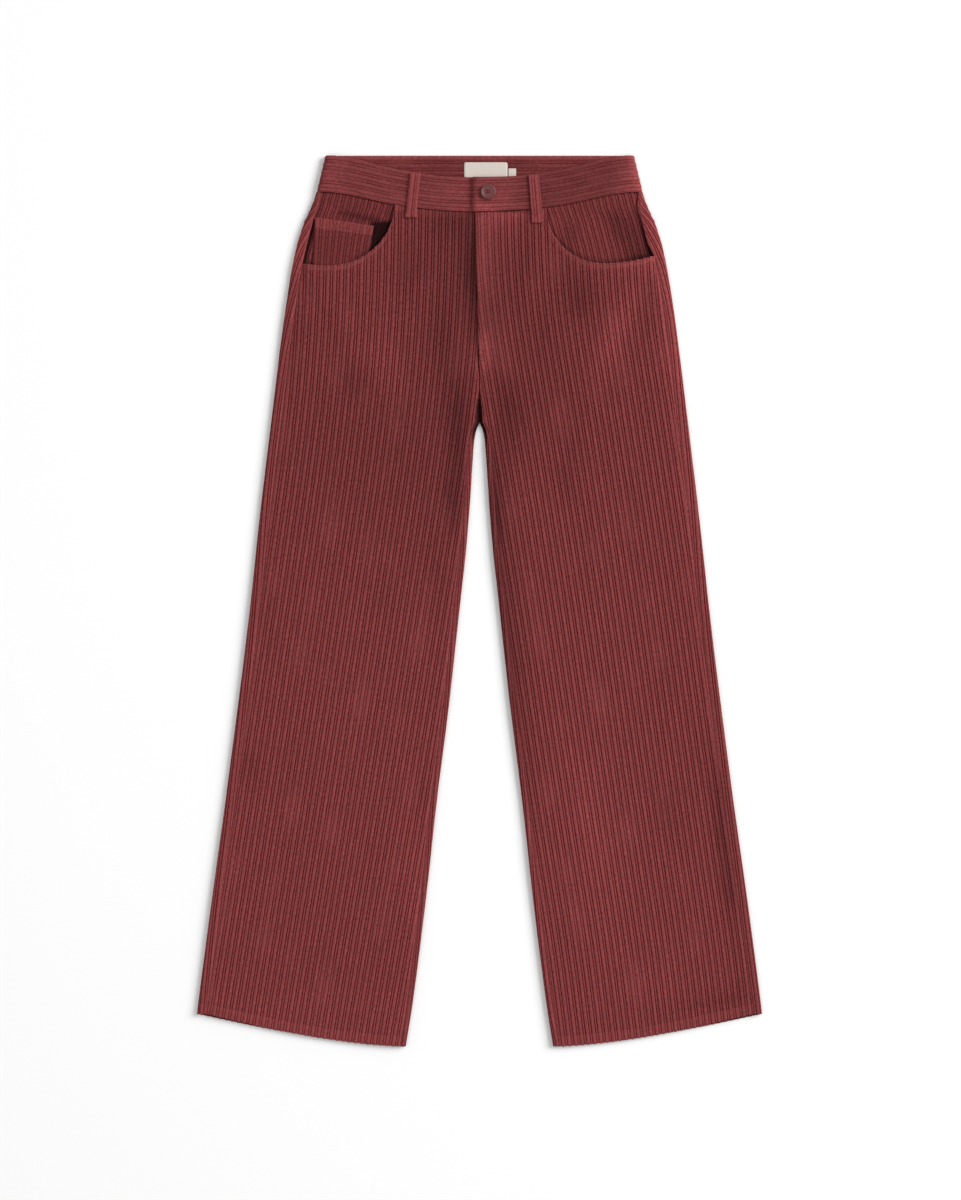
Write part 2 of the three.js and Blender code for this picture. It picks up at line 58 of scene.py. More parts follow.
class Side(Enum):
    """The wearer's left or right, as the sign of its X."""

    LEFT = 1
    RIGHT = -1

    @property
    def word(self) -> str:
        """The side's name in lower case, as the model's nodes have it."""
        return self.name.lower()


def mix(start: Field | float, end: Field | float, share: Field | float) -> Field | float:
    """Return the value a share of the way from start to end."""
    return start + (end - start) * share


def smooth(start: float, end: float, value: Field | float) -> Field | float:
    """Return 0 before start and 1 past end, with a soft rise between."""
    share = np.clip((value - start) / (end - start), 0, 1)
    return share * share * (3 - 2 * share)


def roll_off(distance: Field, radius: float) -> Field:
    """Return how far a folded edge of that radius has rolled down at a distance from it."""
    share = np.clip(1 - distance / radius, 0, 1)
    return radius * (1 - np.sqrt(1 - share * share))


def dent(distance: Field, width: float) -> Field:
    """Return a soft dent, 1 at its middle."""
    return np.exp(-((distance / width) ** 2))


def ripple(x: Field, drop: Field, seed: float) -> Field:
    """Return a gentle uneven swell of the cloth, from about -1 to 1."""
    first = np.sin(x * 0.041 + drop * 0.013 + seed) * np.cos(drop * 0.029 - x * 0.017 + seed * 2)
    second = np.sin(x * 0.083 - drop * 0.047 + seed * 3)
    third = np.sin(drop * 0.091 + x * 0.022 + seed * 5)
    return 0.5 * first + 0.28 * second + 0.22 * third


def linear(red: int, green: int, blue: int) -> tuple[float, float, float, float]:
    """Turn a screen colour from 0 to 255 into the linear colour that shaders take."""

    def channel(level: int) -> float:
        """Turn one level into a linear share."""
        share = level / 255
        return share / 12.92 if share <= 0.04045 else ((share + 0.055) / 1.055) ** 2.4

    return channel(red), channel(green), channel(blue), 1.0


class Curve:
    """A smooth line through a table of places and values."""

    def __init__(self, rows: dict[float, float]) -> None:
        """Keep the table and the slope at each row.

        Args:
            rows: The value at each place, in rising order of place.
        """
        self.places = np.array(list(rows), dtype=float)
        self.values = np.array(list(rows.values()), dtype=float)
        order = np.arange(len(rows))
        before = np.maximum(order - 1, 0)
        after = np.minimum(order + 1, len(rows) - 1)
        rise = self.values[after] - self.values[before]
        self.slopes = rise / (self.places[after] - self.places[before])

    def __call__(self, place: Field | float) -> Field:
        """Return the line's value at one or many places."""
        place = np.asarray(place, dtype=float)
        index = np.clip(np.searchsorted(self.places, place) - 1, 0, len(self.places) - 2)
        step = self.places[index + 1] - self.places[index]
        share = np.clip((place - self.places[index]) / step, 0, 1)
        ease = share * share * (3 - 2 * share)
        rise = self.values[index + 1] - self.values[index]
        bend = (1 - share) * self.slopes[index] - share * self.slopes[index + 1]
        return self.values[index] + rise * ease + step * share * (1 - share) * bend


@dataclass(frozen=True)
class Fold:
    """A soft fold: a ridge with a positive rise, or a trough with a negative one."""

    x: float
    drop: float
    to_x: float
    to_drop: float
    width: float
    rise: float

    def lift(self, x: Field, drop: Field) -> Field:
        """Return how far the fold lifts the cloth at places counted from the middle."""
        along_x = self.to_x - self.x
        along_drop = self.to_drop - self.drop
        length = math.hypot(along_x, along_drop)
        along = ((x - self.x) * along_x + (drop - self.drop) * along_drop) / length**2
        off = ((x - self.x) * along_drop - (drop - self.drop) * along_x) / length
        ends = smooth(-0.25, 0.3, along) * (1 - smooth(0.7, 1.25, along))
        return self.rise * ends * dent(off, self.width)


def lift_of(folds: Sequence[Fold], x: Field, drop: Field) -> Field:
    """Return how far a group of folds lifts the cloth at places."""
    return np.sum([fold.lift(x, drop) for fold in folds], axis=0)


@dataclass(frozen=True)
class Scoop:
    """The mouth of a front pocket: a quarter ellipse, then a shallow rise to the side seam."""

    x: float
    top: float
    across: float
    down: float
    rise: float

    @property
    def inner(self) -> float:
        """The mouth's inner end, counted from the middle."""
        return self.x - self.across

    def mouth(self, across: Field) -> Field:
        """Return the mouth's drop at a distance across from the middle."""
        share = np.clip((self.x - across) / self.across, 0, 1)
        inner = self.top + self.down * np.sqrt(1 - share * share)
        outer = self.top + self.down - self.rise * (across - self.x) ** 2
        return np.where(across >= self.x, outer, inner)


SCOOPS = {
    Side.LEFT: Scoop(x=142, top=60, across=65, down=64, rise=0.0025),
    Side.RIGHT: Scoop(x=175, top=57, across=77, down=70, rise=0.0035),
}

BROAD_FOLDS = {
    Side.RIGHT: (
        Fold(22, 262, 42, 395, 11, -0.8),
        Fold(112, 165, 98, 272, 20, 0.9),
        Fold(170, 175, 124, 280, 12, -0.6),
        Fold(244, 490, 252, 570, 9, -0.7),
        Fold(262, 690, 268, 745, 9, -0.7),
        Fold(108, 460, 118, 640, 20, -0.4),
        Fold(180, 620, 196, 830, 26, 0.5),
    ),
    Side.LEFT: (
        Fold(20, 260, 60, 372, 10, -0.9),
        Fold(182, 160, 128, 250, 15, 1.0),
        Fold(118, 150, 146, 190, 11, -0.5),
        Fold(154, 395, 146, 560, 24, 0.6),
        Fold(98, 650, 150, 845, 26, 1.2),
        Fold(242, 615, 224, 780, 15, -0.8),
        Fold(264, 670, 246, 800, 10, 0.7),
        Fold(274, 690, 296, 885, 10, -0.9),
        Fold(214, 972, 308, 966, 9, -0.8),
    ),
}


@dataclass(frozen=True)
class Fly:
    """The front opening, where the left panel laps over the right one."""

    lap: float = 5.5
    lap_end: float = 1.5
    tuck: float = 8.3
    start: float = 66
    tuck_end: float = 182
    gone: float = 225
    crotch: float = 258
    lift: float = 2.7
    near: float = 10
    far: float = 48

    def beside(self, drop: Field) -> Field:
        """Return 1 down to the end of the fly, falling to 0 at the crotch."""
        return 1 - smooth(self.gone, self.crotch, drop)


@dataclass(frozen=True)
class Block:
    """The trousers' flat outline, and the heights at which their layers lie."""

    length: float = LENGTH
    gap: float = 0.3
    seam_top: float = 7.0
    middle_top: float = 5.9
    roll: float = 3.6
    fold_free: float = 12
    crotch_fold: float = 310
    inseam_start: float = 272
    hem_outer: float = 986
    hem_bow: float = 7
    pocket_seam: float = 9
    waist_lift: float = 1.2
    lift_reach: float = 45
    fly: Fly = Fly()
    pocket_lifts: dict[Side, float] = field(default_factory=lambda: {Side.LEFT: 1.6, Side.RIGHT: 3.4})
    side_edge: Curve = Curve(
        {
            0: 177.5,
            42: 187.5,
            58: 193,
            75: 201,
            98: 208.5,
            121: 214,
            144: 218,
            190: 225,
            282: 236.5,
            397: 250.5,
            512: 263,
            627: 277,
            742: 292,
            857: 308,
            972: 323,
            1023: 328,
        }
    )
    inner_line: Curve = Curve(
        {
            272: 0.15,
            307: 0.15,
            312: 2.8,
            323: 5.4,
            334: 6.6,
            356: 8.1,
            397: 10.8,
            455: 15.5,
            512: 21.9,
            627: 34.5,
            742: 49,
            857: 61.8,
            972: 76.5,
            1023: 84.5,
        }
    )
    side_wrap: Curve = Curve({42: 5.5, 66: 9, 98: 11.5, 1023: 11.5})
    inner_wrap: Curve = Curve({272: 0, 283: 2.7, 310: 4.9, 351: 6.4, 1023: 6.4})
    waist_top: Curve = Curve(
        {0: 25.5, 32: 25, 56: 23, 80: 19.2, 104: 15.4, 128: 10, 150: 4.6, 176: 0.4}
    )
    waist_seam: Curve = Curve(
        {0: 65, 32: 64, 56: 62.2, 80: 59.4, 104: 55.6, 128: 50.4, 150: 45.6, 176: 42}
    )

    def side_seam(self, drop: Field) -> Field:
        """Return where the side seam lies, inside the side edge."""
        return self.side_edge(drop) - self.side_wrap(drop)

    def inner_edge(self, drop: Field) -> Field:
        """Return where a leg's inner edge lies."""
        return np.maximum(0.15, self.inner_line(drop))

    def inseam_wrap(self, drop: Field) -> Field:
        """Return how wide the back panel shows beside the inseam."""
        return np.maximum(0.0, np.where(drop < self.inseam_start, 0.0, self.inner_wrap(drop)))

    def front_inner(self, side: Side, drop: Field) -> Field:
        """Return a front panel's inner edge, counted from the middle to its own side."""
        fly = self.fly
        inseam = self.inner_edge(drop) + self.inseam_wrap(drop) + self.gap
        share = np.clip((drop - fly.start) / (fly.gone - fly.start), 0, 1)
        lap = mix(fly.lap, fly.lap_end, share) * fly.beside(drop)
        if side is Side.LEFT:
            return inseam - lap
        return inseam + lap - fly.tuck * (1 - smooth(fly.tuck_end, fly.gone, drop))

    def front_outer(self, drop: Field) -> Field:
        """Return a front panel's outer edge, at the side seam."""
        return self.side_seam(drop) - self.gap

    def front_top(self, side: Side, across: Field) -> Field:
        """Return a front panel's upper edge: the waist seam, then the pocket mouth."""
        scoop = SCOOPS[side]
        seam = self.waist_seam(np.abs(across)) + self.gap
        return np.maximum(scoop.mouth(across), seam)

    def hem(self, share: Field) -> Field:
        """Return the hem's drop at a share from the inseam to the side seam."""
        bow = self.hem_bow * 4 * share * (1 - share) * mix(1, 0.6, share)
        return mix(self.length, self.hem_outer, share) + bow

    def front_height(self, side: Side, x: Field, drop: Field) -> Field:
        """Return how high a front panel's wale tops lie, counting x to its own side."""
        fly = self.fly
        scoop = SCOOPS[side]
        inner = self.front_inner(side, drop)
        outer = self.side_seam(drop)
        edges = (2 * np.clip((x - inner) / (outer - inner), 0, 1) - 1) ** 4
        past = np.maximum(0, drop - self.front_top(side, x)) + np.maximum(0, scoop.inner - x)
        mouth = self.pocket_lifts[side] * (1 - smooth(0, self.lift_reach, past))
        pocket = mouth * smooth(0, self.pocket_seam, outer - x)
        waist = self.waist_lift * (1 - edges) * (1 - smooth(fly.start, fly.start + self.lift_reach, drop))
        lap = fly.lift * (1 - smooth(fly.near, fly.far, x)) * fly.beside(drop)
        free = smooth(0, self.fold_free, outer - x) * smooth(0, self.fold_free, x - inner)
        height = mix(self.middle_top, self.seam_top, edges) + np.maximum(pocket, waist)
        if side is Side.LEFT:
            height = height + lap
        return height + lift_of(BROAD_FOLDS[side], x, drop) * free


CREASES = {
    Side.RIGHT: (
        Fold(10, 262, 34, 420, 6, -1.1),
        Fold(30, 250, 52, 350, 6, 0.8),
        Fold(16, 80, 17, 215, 9, -0.9),
        Fold(128, 160, 84, 285, 9, 0.8),
        Fold(158, 140, 134, 232, 8, -0.7),
        Fold(196, 250, 168, 350, 9, -0.4),
    ),
    Side.LEFT: (
        Fold(17, 256, 50, 365, 6, -1.2),
        Fold(36, 250, 66, 340, 6, 0.8),
        Fold(184, 150, 138, 252, 8, 0.9),
        Fold(128, 128, 96, 190, 8, -0.8),
        Fold(50, 80, 44, 150, 8, -0.5),
        Fold(172, 380, 176, 480, 8, -0.5),
        Fold(262, 735, 288, 905, 9, -0.9),
        Fold(222, 700, 216, 790, 8, -0.7),
        Fold(104, 700, 128, 830, 12, 0.8),
    ),
}


@dataclass(frozen=True)
class Wales:
    """The ribs of the cloth: a wide wale and a narrow one in turn, with a groove after each."""

    pitch: float = 7.75
    wide: float = 0.64
    narrow_rise: float = 0.78
    depth: float = 0.95

    def pile(self, across: Field) -> Field:
        """Return the pile's height at places across the cloth, from 0 in a groove to 1."""
        phase = np.mod(across / self.pitch, 1.0)
        is_wide = phase < self.wide
        share = np.where(is_wide, phase / self.wide, (phase - self.wide) / (1 - self.wide))
        crown = 1 - np.abs(2 * share - 1) ** np.where(is_wide, 4.0, 2.8)
        return crown * np.where(is_wide, 1.0, self.narrow_rise)

    def columns(self, start: float, end: float) -> Field:
        """Return places across the cloth that catch each wale's crown and grooves.

        Args:
            start: The first place, on the fabric.
            end: The last place, on the fabric.
        """
        wide = [share * self.wide for share in (0, 0.08, 0.2, 0.5, 0.8, 0.92)]
        narrow = [mix(self.wide, 1, share) for share in (0, 0.15, 0.5, 0.85)]
        first = math.floor(start / self.pitch)
        last = math.ceil(end / self.pitch)
        places = [(pair + phase) * self.pitch for pair in range(first, last) for phase in wide + narrow]
        inside = [place for place in places if start + 0.1 < place < end - 0.1]
        return np.array([start, *inside, end])


class Grain:
    """The way a leg's wales run, from the waist to the hem."""

    def __init__(self, start: float, slants: dict[float, float], squeeze: float) -> None:
        """Work out the line of the leg's middle wale.

        Args:
            start: Where the middle wale begins, counted from the middle.
            slants: Its outward slant in degrees at some drops.
            squeeze: How much closer the wales lie at the hem, as a share.
        """
        self.drops = np.arange(0.0, 1050.0, 2.0)
        slant = np.tan(np.radians(np.interp(self.drops, list(slants), list(slants.values()))))
        self.path = start + np.concatenate(([0.0], np.cumsum((slant[1:] + slant[:-1]) / 2) * 2.0))
        self.squeeze = squeeze

    def ratio(self, drop: Field) -> Field:
        """Return how wide the wales lie at a drop, against their width at the waist."""
        return 1 - self.squeeze * np.clip(drop / LENGTH, 0, 1)

    def across(self, wale: Field, drop: Field) -> Field:
        """Return where a place across the fabric lies at a drop."""
        return np.interp(drop, self.drops, self.path) + wale * self.ratio(drop)

    def wale(self, across: Field, drop: Field) -> Field:
        """Return the place across the fabric that lies at a spot."""
        return (across - np.interp(drop, self.drops, self.path)) / self.ratio(drop)


GRAINS = {
    Side.LEFT: Grain(
        100, {60: 0.5, 110: 2, 143: 4.5, 223: 9.3, 395: 9, 625: 8.2, 855: 9, 960: 7, 1023: 6.5}, 0.06
    ),
    Side.RIGHT: Grain(
        100, {60: 0.5, 120: 1.5, 165: 2.5, 223: 4.5, 300: 7, 395: 8.5, 625: 9, 855: 9.5, 1023: 9.5}, 0.06
    ),
}


@dataclass(frozen=True)
class Patch:
    """A soft patch that makes the cloth lighter or darker: partly uneven nap, partly painted light and
    shade, as the shade beside the fly and in the creases at the crotch.
    """

    x: float
    drop: float
    width: float
    length: float
    lean: float
    tone: float

    def at(self, x: Field, drop: Field) -> Field:
        """Return the patch's tone at places counted from the middle."""
        turn = math.radians(self.lean)
        off_x = x - self.x
        off_drop = drop - self.drop
        across = off_x * math.cos(turn) - off_drop * math.sin(turn)
        along = off_x * math.sin(turn) + off_drop * math.cos(turn)
        return self.tone * np.exp(-((across / self.width) ** 2) - (along / self.length) ** 2)


# Patches of uneven nap and of painted light and shade, for each side.
NAP_AND_SHADE_PATCHES = {
    Side.RIGHT: (
        Patch(14, 135, 13, 75, 0, -0.7),
        Patch(75, 140, 70, 110, 0, -0.14),
        Patch(62, 340, 44, 130, 0, -0.18),
        Patch(112, 238, 20, 50, -24, 0.42),
        Patch(200, 180, 14, 42, 0, -0.25),
        Patch(166, 205, 10, 46, -20, -0.2),
        Patch(26, 345, 15, 90, -6, -0.6),
        Patch(128, 448, 9, 16, 0, -0.2),
        Patch(112, 510, 12, 32, 0, -0.15),
        Patch(247, 525, 11, 44, 0, -0.25),
        Patch(268, 702, 16, 20, 0, -0.4),
        Patch(208, 720, 18, 40, 0, -0.12),
        Patch(72, 850, 18, 130, -6, 0.3),
        Patch(220, 985, 80, 30, 0, 0.2),
        Patch(178, 936, 14, 24, 0, -0.15),
        Patch(110, 890, 12, 24, 0, -0.15),
        Patch(6, 140, 6, 95, 0, -0.7),
        Patch(40, 110, 40, 62, 0, -0.35),
        Patch(85, 132, 15, 26, 0, -0.4),
        Patch(22, 285, 12, 50, 0, -0.5),
        Patch(34, 400, 10, 34, -4, -0.6),
        Patch(140, 330, 110, 110, 0, -0.25),
        Patch(42, 205, 18, 42, 0, -0.45),
        Patch(36, 74, 26, 20, 0, -0.45),
        Patch(4, 231, 6, 16, 0, 0.6),
        Patch(50, 480, 12, 45, -6, -0.3),
        Patch(145, 262, 16, 18, 0, -0.3),
        Patch(90, 292, 12, 14, 0, -0.25),
        Patch(216, 205, 12, 44, 0, -0.28),
        Patch(68, 736, 12, 22, 0, -0.25),
        Patch(90, 990, 40, 36, 0, 0.2),
    ),
    Side.LEFT: (
        Patch(30, 66, 30, 12, 0, 0.3),
        Patch(80, 180, 60, 110, 0, -0.16),
        Patch(52, 112, 15, 36, -10, -0.28),
        Patch(110, 154, 22, 34, 20, -0.42),
        Patch(158, 196, 13, 62, -28, 0.42),
        Patch(74, 205, 14, 44, -6, -0.25),
        Patch(28, 312, 11, 42, 16, -0.55),
        Patch(98, 374, 12, 20, 0, -0.2),
        Patch(172, 425, 10, 34, 4, -0.2),
        Patch(145, 430, 10, 40, 0, 0.12),
        Patch(120, 760, 24, 90, 10, 0.3),
        Patch(140, 860, 40, 120, 8, 0.12),
        Patch(215, 752, 12, 28, 6, -0.55),
        Patch(214, 620, 16, 60, 0, -0.12),
        Patch(280, 800, 13, 95, 9, -0.5),
        Patch(276, 972, 58, 8, 8, -0.38),
        Patch(210, 950, 26, 14, 0, 0.22),
        Patch(104, 892, 12, 20, 0, -0.2),
        Patch(20, 150, 12, 75, 0, -0.4),
        Patch(40, 282, 24, 42, 14, -0.45),
        Patch(95, 290, 60, 80, 0, -0.15),
        Patch(17, 412, 8, 34, 4, -0.7),
        Patch(5, 231, 8, 17, 0, 0.9),
        Patch(20, 72, 22, 10, 0, 0.4),
        Patch(84, 76, 10, 34, 0, 0.35),
        Patch(151, 215, 14, 48, -12, 0.25),
        Patch(180, 126, 20, 12, 0, 0.45),
        Patch(125, 450, 10, 26, 0, -0.25),
        Patch(46, 165, 14, 55, 0, -0.3),
        Patch(8, 178, 14, 24, 0, -0.35),
        Patch(50, 745, 14, 60, 4, -0.4),
        Patch(277, 725, 8, 55, 8, -0.5),
        Patch(104, 345, 14, 60, 0, -0.2),
        Patch(118, 172, 18, 18, 0, -0.25),
        Patch(196, 172, 12, 30, 0, -0.35),
        Patch(290, 835, 14, 60, 8, -0.35),
        Patch(308, 955, 16, 18, 8, -0.4),
    ),
}


def nap_and_shade_tone_at(side: Side, x: Field, drop: Field) -> Field:
    """Return the tone at places on a side: uneven nap and painted light and shade from the patches, and a
    gradient, darker at the hips and lighter down the legs.
    """
    patches = np.sum([patch.at(x, drop) for patch in NAP_AND_SHADE_PATCHES[side]], axis=0)
    return patches + mix(-0.06, 0.09, smooth(200, 800, drop))


@dataclass
class Spots:
    """Places of a cloth grid's vertices, in millimetres, with what its finish needs."""

    x: Field
    drop: Field
    z: Field
    wale: Field
    run: Field
    crush: Field | float = 0.0
    # tone holds painted light and shade, with uneven nap, which scales the colour.
    tone: Field | float = 0.0


Placement = Callable[[Field, Field], Spots]


@dataclass(frozen=True)
class Rows:
    """The rows of a cloth grid, which follow its two ends and are level between them."""

    lead: tuple[float, ...]
    trail: tuple[float, ...]
    first: float
    upper: int
    last: float = 962
    lower: int = 3
    crotch: tuple[float, float] = (250, 350)
    hip_step: float = 9.0
    crotch_step: float = 4.0
    leg_rows: int = 62

    def levels(self) -> Field:
        """Return the drops of the level rows, close together at the crotch."""
        above, below = self.crotch
        hip = np.arange(self.first, above, self.hip_step)
        crotch = np.arange(above, below, self.crotch_step)
        leg = np.linspace(below, self.last, self.leg_rows)
        return np.concatenate([hip, crotch, leg])

    def count(self) -> int:
        """Return how many rows there are."""
        return len(self.lead) + self.upper + len(self.levels()) + self.lower + len(self.trail)

    def drops(self, row: Field, top: Field, bottom: Field) -> Field:
        """Return the drop of each row on a column.

        Args:
            row: Row numbers, from 0 at the top.
            top: The drop at which each column starts.
            bottom: The drop at which each column ends.

        Returns:
            The drops, which keep the lead and trail distances at the two ends.
        """
        start = top + self.lead[-1]
        end = bottom - self.trail[0]
        upper = [mix(start, self.first, (step + 1) / (self.upper + 1)) for step in range(self.upper)]
        lower = [mix(self.last, end, (step + 1) / (self.lower + 1)) for step in range(self.lower)]
        rows = [top + ahead for ahead in self.lead]
        rows += upper
        rows += [np.full_like(top, level) for level in self.levels()]
        rows += lower
        rows += [bottom - left for left in self.trail]
        return np.stack(rows)[row.astype(int), np.arange(len(row))]


def settle(edge: Callable[[Field], Field], near: float, columns: int) -> Field:
    """Find where slanting columns meet an edge.

    Args:
        edge: Gives the edge's drop for the columns, where they lie at given drops.
        near: A drop near the edge.
        columns: How many columns there are.

    Returns:
        The drop at which each column meets the edge.
    """
    drop = np.full(columns, near)
    for _ in range(60):
        drop = mix(drop, edge(drop), 0.6)
    return drop


def at_seam(distance: Field) -> Field:
    """Return 1 on a seam and 0 past the pile that it presses."""
    return 1 - smooth(0.8, 3.2, distance)


def scallop(left: Field, reach: float, pile: Field) -> Field:
    """Return how far the wales stand out at an edge, near which left is the cloth before it."""
    return np.clip(1 - left / 2, 0, 1) * mix(-0.5, reach, pile)


def brushed_flat(x: Field, drop: Field, seed: float) -> Field:
    """Return how flat the nap is brushed, in uneven patches."""
    return 0.35 * smooth(0.25, 0.8, ripple(x * 1.7, drop * 0.8, seed))


def add_piece(name: str, mesh: bpy.types.Mesh) -> bpy.types.Object:
    """Put a finished mesh into the scene."""
    piece = bpy.data.objects.new(name, mesh)
    bpy.context.scene.collection.objects.link(piece)
    return piece


def mesh_piece(name: str, shape: bmesh.types.BMesh) -> bpy.types.Object:
    """Turn a finished bmesh into a piece in the scene."""
    mesh = bpy.data.meshes.new(name)
    shape.to_mesh(mesh)
    shape.free()
    return add_piece(name, mesh)


def soften(shape: bmesh.types.BMesh) -> None:
    """Shade every face smooth."""
    for face in shape.faces:
        face.smooth = True


class ClothBuilder:
    """Makes cloth meshes from grids."""

    def __init__(self, block: Block) -> None:
        """Keep the block whose length sets where a drop lies."""
        self.block = block

    def point(self, x: float, drop: float, z: float) -> Vector:
        """Return a place in metres."""
        return Vector((x, self.block.length / 2 - drop, z)) * MM

    def grid(
        self, name: str, columns: Field, rows: int, place: Placement, facing: Vector
    ) -> bpy.types.Object:
        """Lay a grid of cloth.

        Args:
            name: The piece's name.
            columns: The place of each column across the fabric.
            rows: How many rows there are.
            place: Gives the vertices' places from their columns and row numbers.
            facing: The way that most faces have to point.

        Returns:
            The piece, one sheet without thickness.
        """
        shape = bmesh.new()
        bmesh.ops.create_grid(shape, x_segments=len(columns) - 1, y_segments=rows - 1, size=1.0)
        mesh = bpy.data.meshes.new(name)
        shape.to_mesh(mesh)
        shape.free()
        flat = np.empty(len(mesh.vertices) * 3, dtype=np.float32)
        mesh.vertices.foreach_get("co", flat)
        flat = flat.reshape(-1, 3)
        column = np.rint((flat[:, 0] + 1) / 2 * (len(columns) - 1)).astype(int)
        row = np.rint((1 - flat[:, 1]) / 2 * (rows - 1)).astype(int)
        spots = place(columns[column], row)
        places = np.stack([spots.x, self.block.length / 2 - spots.drop, spots.z], axis=1) * MM
        mesh.vertices.foreach_set("co", places.astype(np.float32).ravel())
        for trait, values in (("crush", spots.crush), ("tone", spots.tone)):
            attribute = mesh.attributes.new(trait, "FLOAT", "POINT")
            spread = np.broadcast_to(values, spots.x.shape)
            attribute.data.foreach_set("value", np.ascontiguousarray(spread, dtype=np.float32))
        loops = np.empty(len(mesh.loops), dtype=np.int32)
        mesh.loops.foreach_get("vertex_index", loops)
        fabric = np.stack([spots.wale, spots.run], axis=1) * MM
        layer = mesh.uv_layers.new(name="fabric")
        layer.data.foreach_set("uv", fabric[loops].astype(np.float32).ravel())
        return self.finish(name, mesh, facing)

    def finish(self, name: str, mesh: bpy.types.Mesh, facing: Vector) -> bpy.types.Object:
        """Merge a mesh's doubles, turn its faces the right way and add it to the scene."""
        shape = bmesh.new()
        shape.from_mesh(mesh)
        bmesh.ops.remove_doubles(shape, verts=shape.verts, dist=2e-6)
        bmesh.ops.dissolve_degenerate(shape, edges=shape.edges, dist=1e-6)
        shape.normal_update()
        whole = sum((face.normal * face.calc_area() for face in shape.faces), Vector())
        if whole.dot(facing) < 0:
            bmesh.ops.reverse_faces(shape, faces=shape.faces)
        soften(shape)
        shape.to_mesh(mesh)
        shape.free()
        return add_piece(name, mesh)

    def close_ends(self, piece: bpy.types.Object) -> None:
        """Fill the open ends of a piece that is laid as a tube."""
        shape = bmesh.new()
        shape.from_mesh(piece.data)
        open_edges = [edge for edge in shape.edges if edge.is_boundary]
        bmesh.ops.holes_fill(shape, edges=open_edges, sides=0)
        bmesh.ops.recalc_face_normals(shape, faces=shape.faces)
        shape.to_mesh(piece.data)
        shape.free()

    def thicken(self, piece: bpy.types.Object, thickness: float) -> None:
        """Give a sheet its thickness, behind the way it faces."""
        solid = piece.modifiers.new("thickness", "SOLIDIFY")
        solid.thickness = thickness * MM
        solid.offset = -1
        solid.use_rim = True


UP = Vector((0, 0, 1))
DOWN = Vector((0, 0, -1))


def painted_edge_light_and_shade(block: Block, side: Side, x: Field, drop: Field) -> Field:
    """Return painted light and shade beside a leg's two edges: on the left leg, lighter by the outer edge
    that faces the key light and darker by the inner edge that faces away; on the right leg, lighter
    strips by the outer edge.
    """
    inner = x - block.inner_edge(drop)
    outer = block.side_edge(drop) - x
    if side is Side.RIGHT:
        strip = smooth(72, 92, drop) * (1 - smooth(128, 150, drop)) * dent(outer, 9)
        return 0.15 * dent(outer, 16) * smooth(600, 700, drop) + 0.7 * strip
    dark = smooth(300, 360, drop) * (1 - smooth(560, 800, drop)) * dent(inner, 24)
    bright = (1 - smooth(380, 560, drop)) * dent(outer, 20)
    hip = (1 - smooth(220, 300, drop)) * dent(outer, 14)
    return 0.42 * bright + 0.5 * hip - 0.8 * dark


@dataclass(frozen=True)
class Hem:
    """The turned-up hem: its depth, and how its edge and stitching shape the cloth."""

    depth: float = 12
    rise: float = 0.4
    stitch_dent: float = 0.5
    stitch_width: float = 0.9
    edge: float = 1.3

    def lift(self, left: Field) -> Field:
        """Return the hem's effect on the height at distances from its lower edge."""
        raised = self.rise * (1 - smooth(self.depth - 0.5, self.depth + 1.5, left))
        stitched = self.stitch_dent * dent(left - self.depth, self.stitch_width)
        return raised - stitched - roll_off(left, self.edge)


